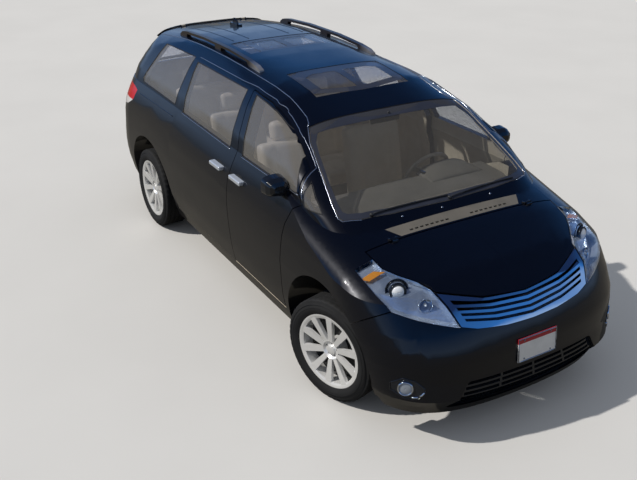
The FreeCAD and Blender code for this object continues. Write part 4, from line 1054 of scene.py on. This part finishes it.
# Each seat: label, middle, width, front edge, cushion height and the middles of its headrests
SEATS = (("front_left", 380, 510, 1830, 680, [380]), ("front_right", -380, 510, 1830, 680, [-380]),
         ("middle_left", 400, 500, 2700, 680, [400]), ("middle_right", -400, 500, 2700, 680, [-400]),
         ("bench", 0, 1240, 3480, 700, [-400, 0, 400]))


def pad_part(width, depth, height, radius, crown, bolster=0.0, channels=(), cross=()):
    """Crowned pad about its own middle, with its face towards +Z."""
    half = Vector((width / 2, depth / 2, height / 2))
    grid = {}
    vertices = []
    faces = []

    def vertex(*key):
        if key in grid:
            return grid[key]
        point = Vector([(2 * step / PAD_STEPS - 1) * h for step, h in zip(key, half)])
        core = Vector([max(-(h - radius), min(h - radius, c)) for c, h in zip(point, half)])
        away = point - core
        if away.length > 1e-9:
            point = core + away.normalized() * radius
        across, along = point.x / half.x, point.y / half.y
        if point.z > 0:
            lift = crown * (1 - across ** 2) * (1 - along ** 2)
            lift += bolster * min(1, max(0, (abs(across) - 0.5) / 0.35)) * (1 - along ** 4)
            for x in channels:
                lift -= CHANNEL_DEPTH * math.exp(-((across - x) / CHANNEL_WIDTH) ** 2)
            for y in cross:
                lift -= CHANNEL_DEPTH * math.exp(-((along - y) / CHANNEL_WIDTH) ** 2) * (abs(across) < 0.62)
            point.z += lift * (point.z / half.z)
        pinch = 1 - 0.02 * (1 - (point.z / (half.z + crown + 1)) ** 2)
        vertices.append(Vector((point.x * pinch, point.y * pinch, point.z)) * MM)
        grid[key] = len(vertices) - 1
        return grid[key]

    top = PAD_STEPS
    for a in range(top):
        for b in range(top):
            square = [(a, b), (a + 1, b), (a + 1, b + 1), (a, b + 1)]
            flipped = [square[0], *square[:0:-1]]
            for axis, level, corners in ((2, top, square), (2, 0, flipped), (1, 0, square),
                                         (1, top, flipped), (0, 0, flipped), (0, top, square)):
                faces.append(tuple(vertex(*corner[:axis], level, *corner[axis:]) for corner in corners))
    return vertices, faces


def add_pad(name, part, centre, tilt_deg):
    pad = add_piece(name, turned(part, centre, tilt_deg, "X"), "leather")
    soft = pad.modifiers.new("soft", "SUBSURF")
    soft.levels = 1
    soft.render_levels = 1
    return pad


for label, x, width, front, cushion_z, rests in SEATS:
    single = len(rests) == 1
    channels = (-0.5, 0.5) if single else (-0.33, 0.33)
    cushion = add_pad(f"seat_cushion_{label}",
                      pad_part(width, 500, 130, 45, 14, 12 * single, channels, (0.1, -0.35)),
                      place(x, front + 250, cushion_z - 70), -3)
    add_pad(f"seat_back_{label}", pad_part(width, 600, 110, 42, 12, 16 * single, channels, (-0.3, 0.15)),
            place(x, front + 545, cushion_z + 215), BACK_TILT)
    if label == "front_left":
        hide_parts("seats")
    base = box_part(place(x - width / 2 + 60, front + 60, 350.5),
                    place(x + width / 2 - 60, front + 460, cushion_z - 135))
    bevelled(add_piece(f"seat_base_{label}", base, "trim_grey", smooth=False), 0.012)
    for index, rest_x in enumerate(rests):
        add_pad(f"headrest_{label}_{index}", pad_part(250, 150, 90, 40, 10),
                place(rest_x, front + 640, cushion_z + 575), BACK_TILT + 2)
        posts = [tube_part([place(rest_x + shift, front + 615, cushion_z + 470),
                            place(rest_x + shift, front + 636, cushion_z + 545)], 0.006, sides=10)
                 for shift in (-45, 45)]
        add_piece(f"headrest_posts_{label}_{index}", joined(posts), "steel")

# Floor, sun and the light around
FLOOR_SIZE = 60.0
FLOOR_SEEN = (0.66, 0.65, 0.63)
FLOOR_FELT = (0.15, 0.14, 0.12)
SUN_FROM = (-7.0, 2.5, 8.0)
SUN_STRENGTH = 3.0
SUN_WIDTH_DEG = 1.2
SUN_COLOR = (1.0, 0.96, 0.90)
SKY_STOPS = [(0.0, (0.10, 0.12, 0.14)), (0.10, (0.30, 0.44, 0.68)), (0.36, (0.03, 0.15, 0.44)),
             (0.62, (0.010, 0.025, 0.08))]
SOFT_SKY = ((0.80, 0.87, 1.0, 1), 0.42)
PALE_SKY = ((0.86, 0.86, 0.86, 1), 1.0)

floor_mesh = bpy.data.meshes.new("floor")
floor_mesh.from_pydata([(-FLOOR_SIZE, -FLOOR_SIZE, 0), (FLOOR_SIZE, -FLOOR_SIZE, 0),
                        (FLOOR_SIZE, FLOOR_SIZE, 0), (-FLOOR_SIZE, FLOOR_SIZE, 0)], [], [(0, 1, 2, 3)])
floor_mesh.materials.append(floor_material("floor_paint", FLOOR_SEEN, FLOOR_FELT))
add_object("floor", floor_mesh)

sun = add_object("sun", bpy.data.lights.new("sun", "SUN"))
sun.data.energy = SUN_STRENGTH
sun.data.angle = math.radians(SUN_WIDTH_DEG)
sun.data.color = SUN_COLOR
sun.rotation_euler = Vector(SUN_FROM).to_track_quat("Z", "Y").to_euler()

world = bpy.data.worlds.new("world")
bpy.context.scene.world = world
world.use_nodes = True
sky = world.node_tree
sky.nodes.clear()


def background(color, strength):
    return shader_node(sky, "Background", {"Color": color, "Strength": strength})


heading = shader_node(sky, "TexCoord")
split = shader_node(sky, "SeparateXYZ", {"Vector": heading.outputs["Generated"]})
mirrored_sky = background(ramped(sky, split.outputs["Z"], SKY_STOPS), 1.0)
rays = shader_node(sky, "LightPath")
lighting = mixed(sky, rays.outputs["Is Glossy Ray"], background(*SOFT_SKY), mirrored_sky)
shown = mixed(sky, rays.outputs["Is Camera Ray"], lighting, background(*PALE_SKY))
shader_node(sky, "OutputWorld", {"Surface": shown})
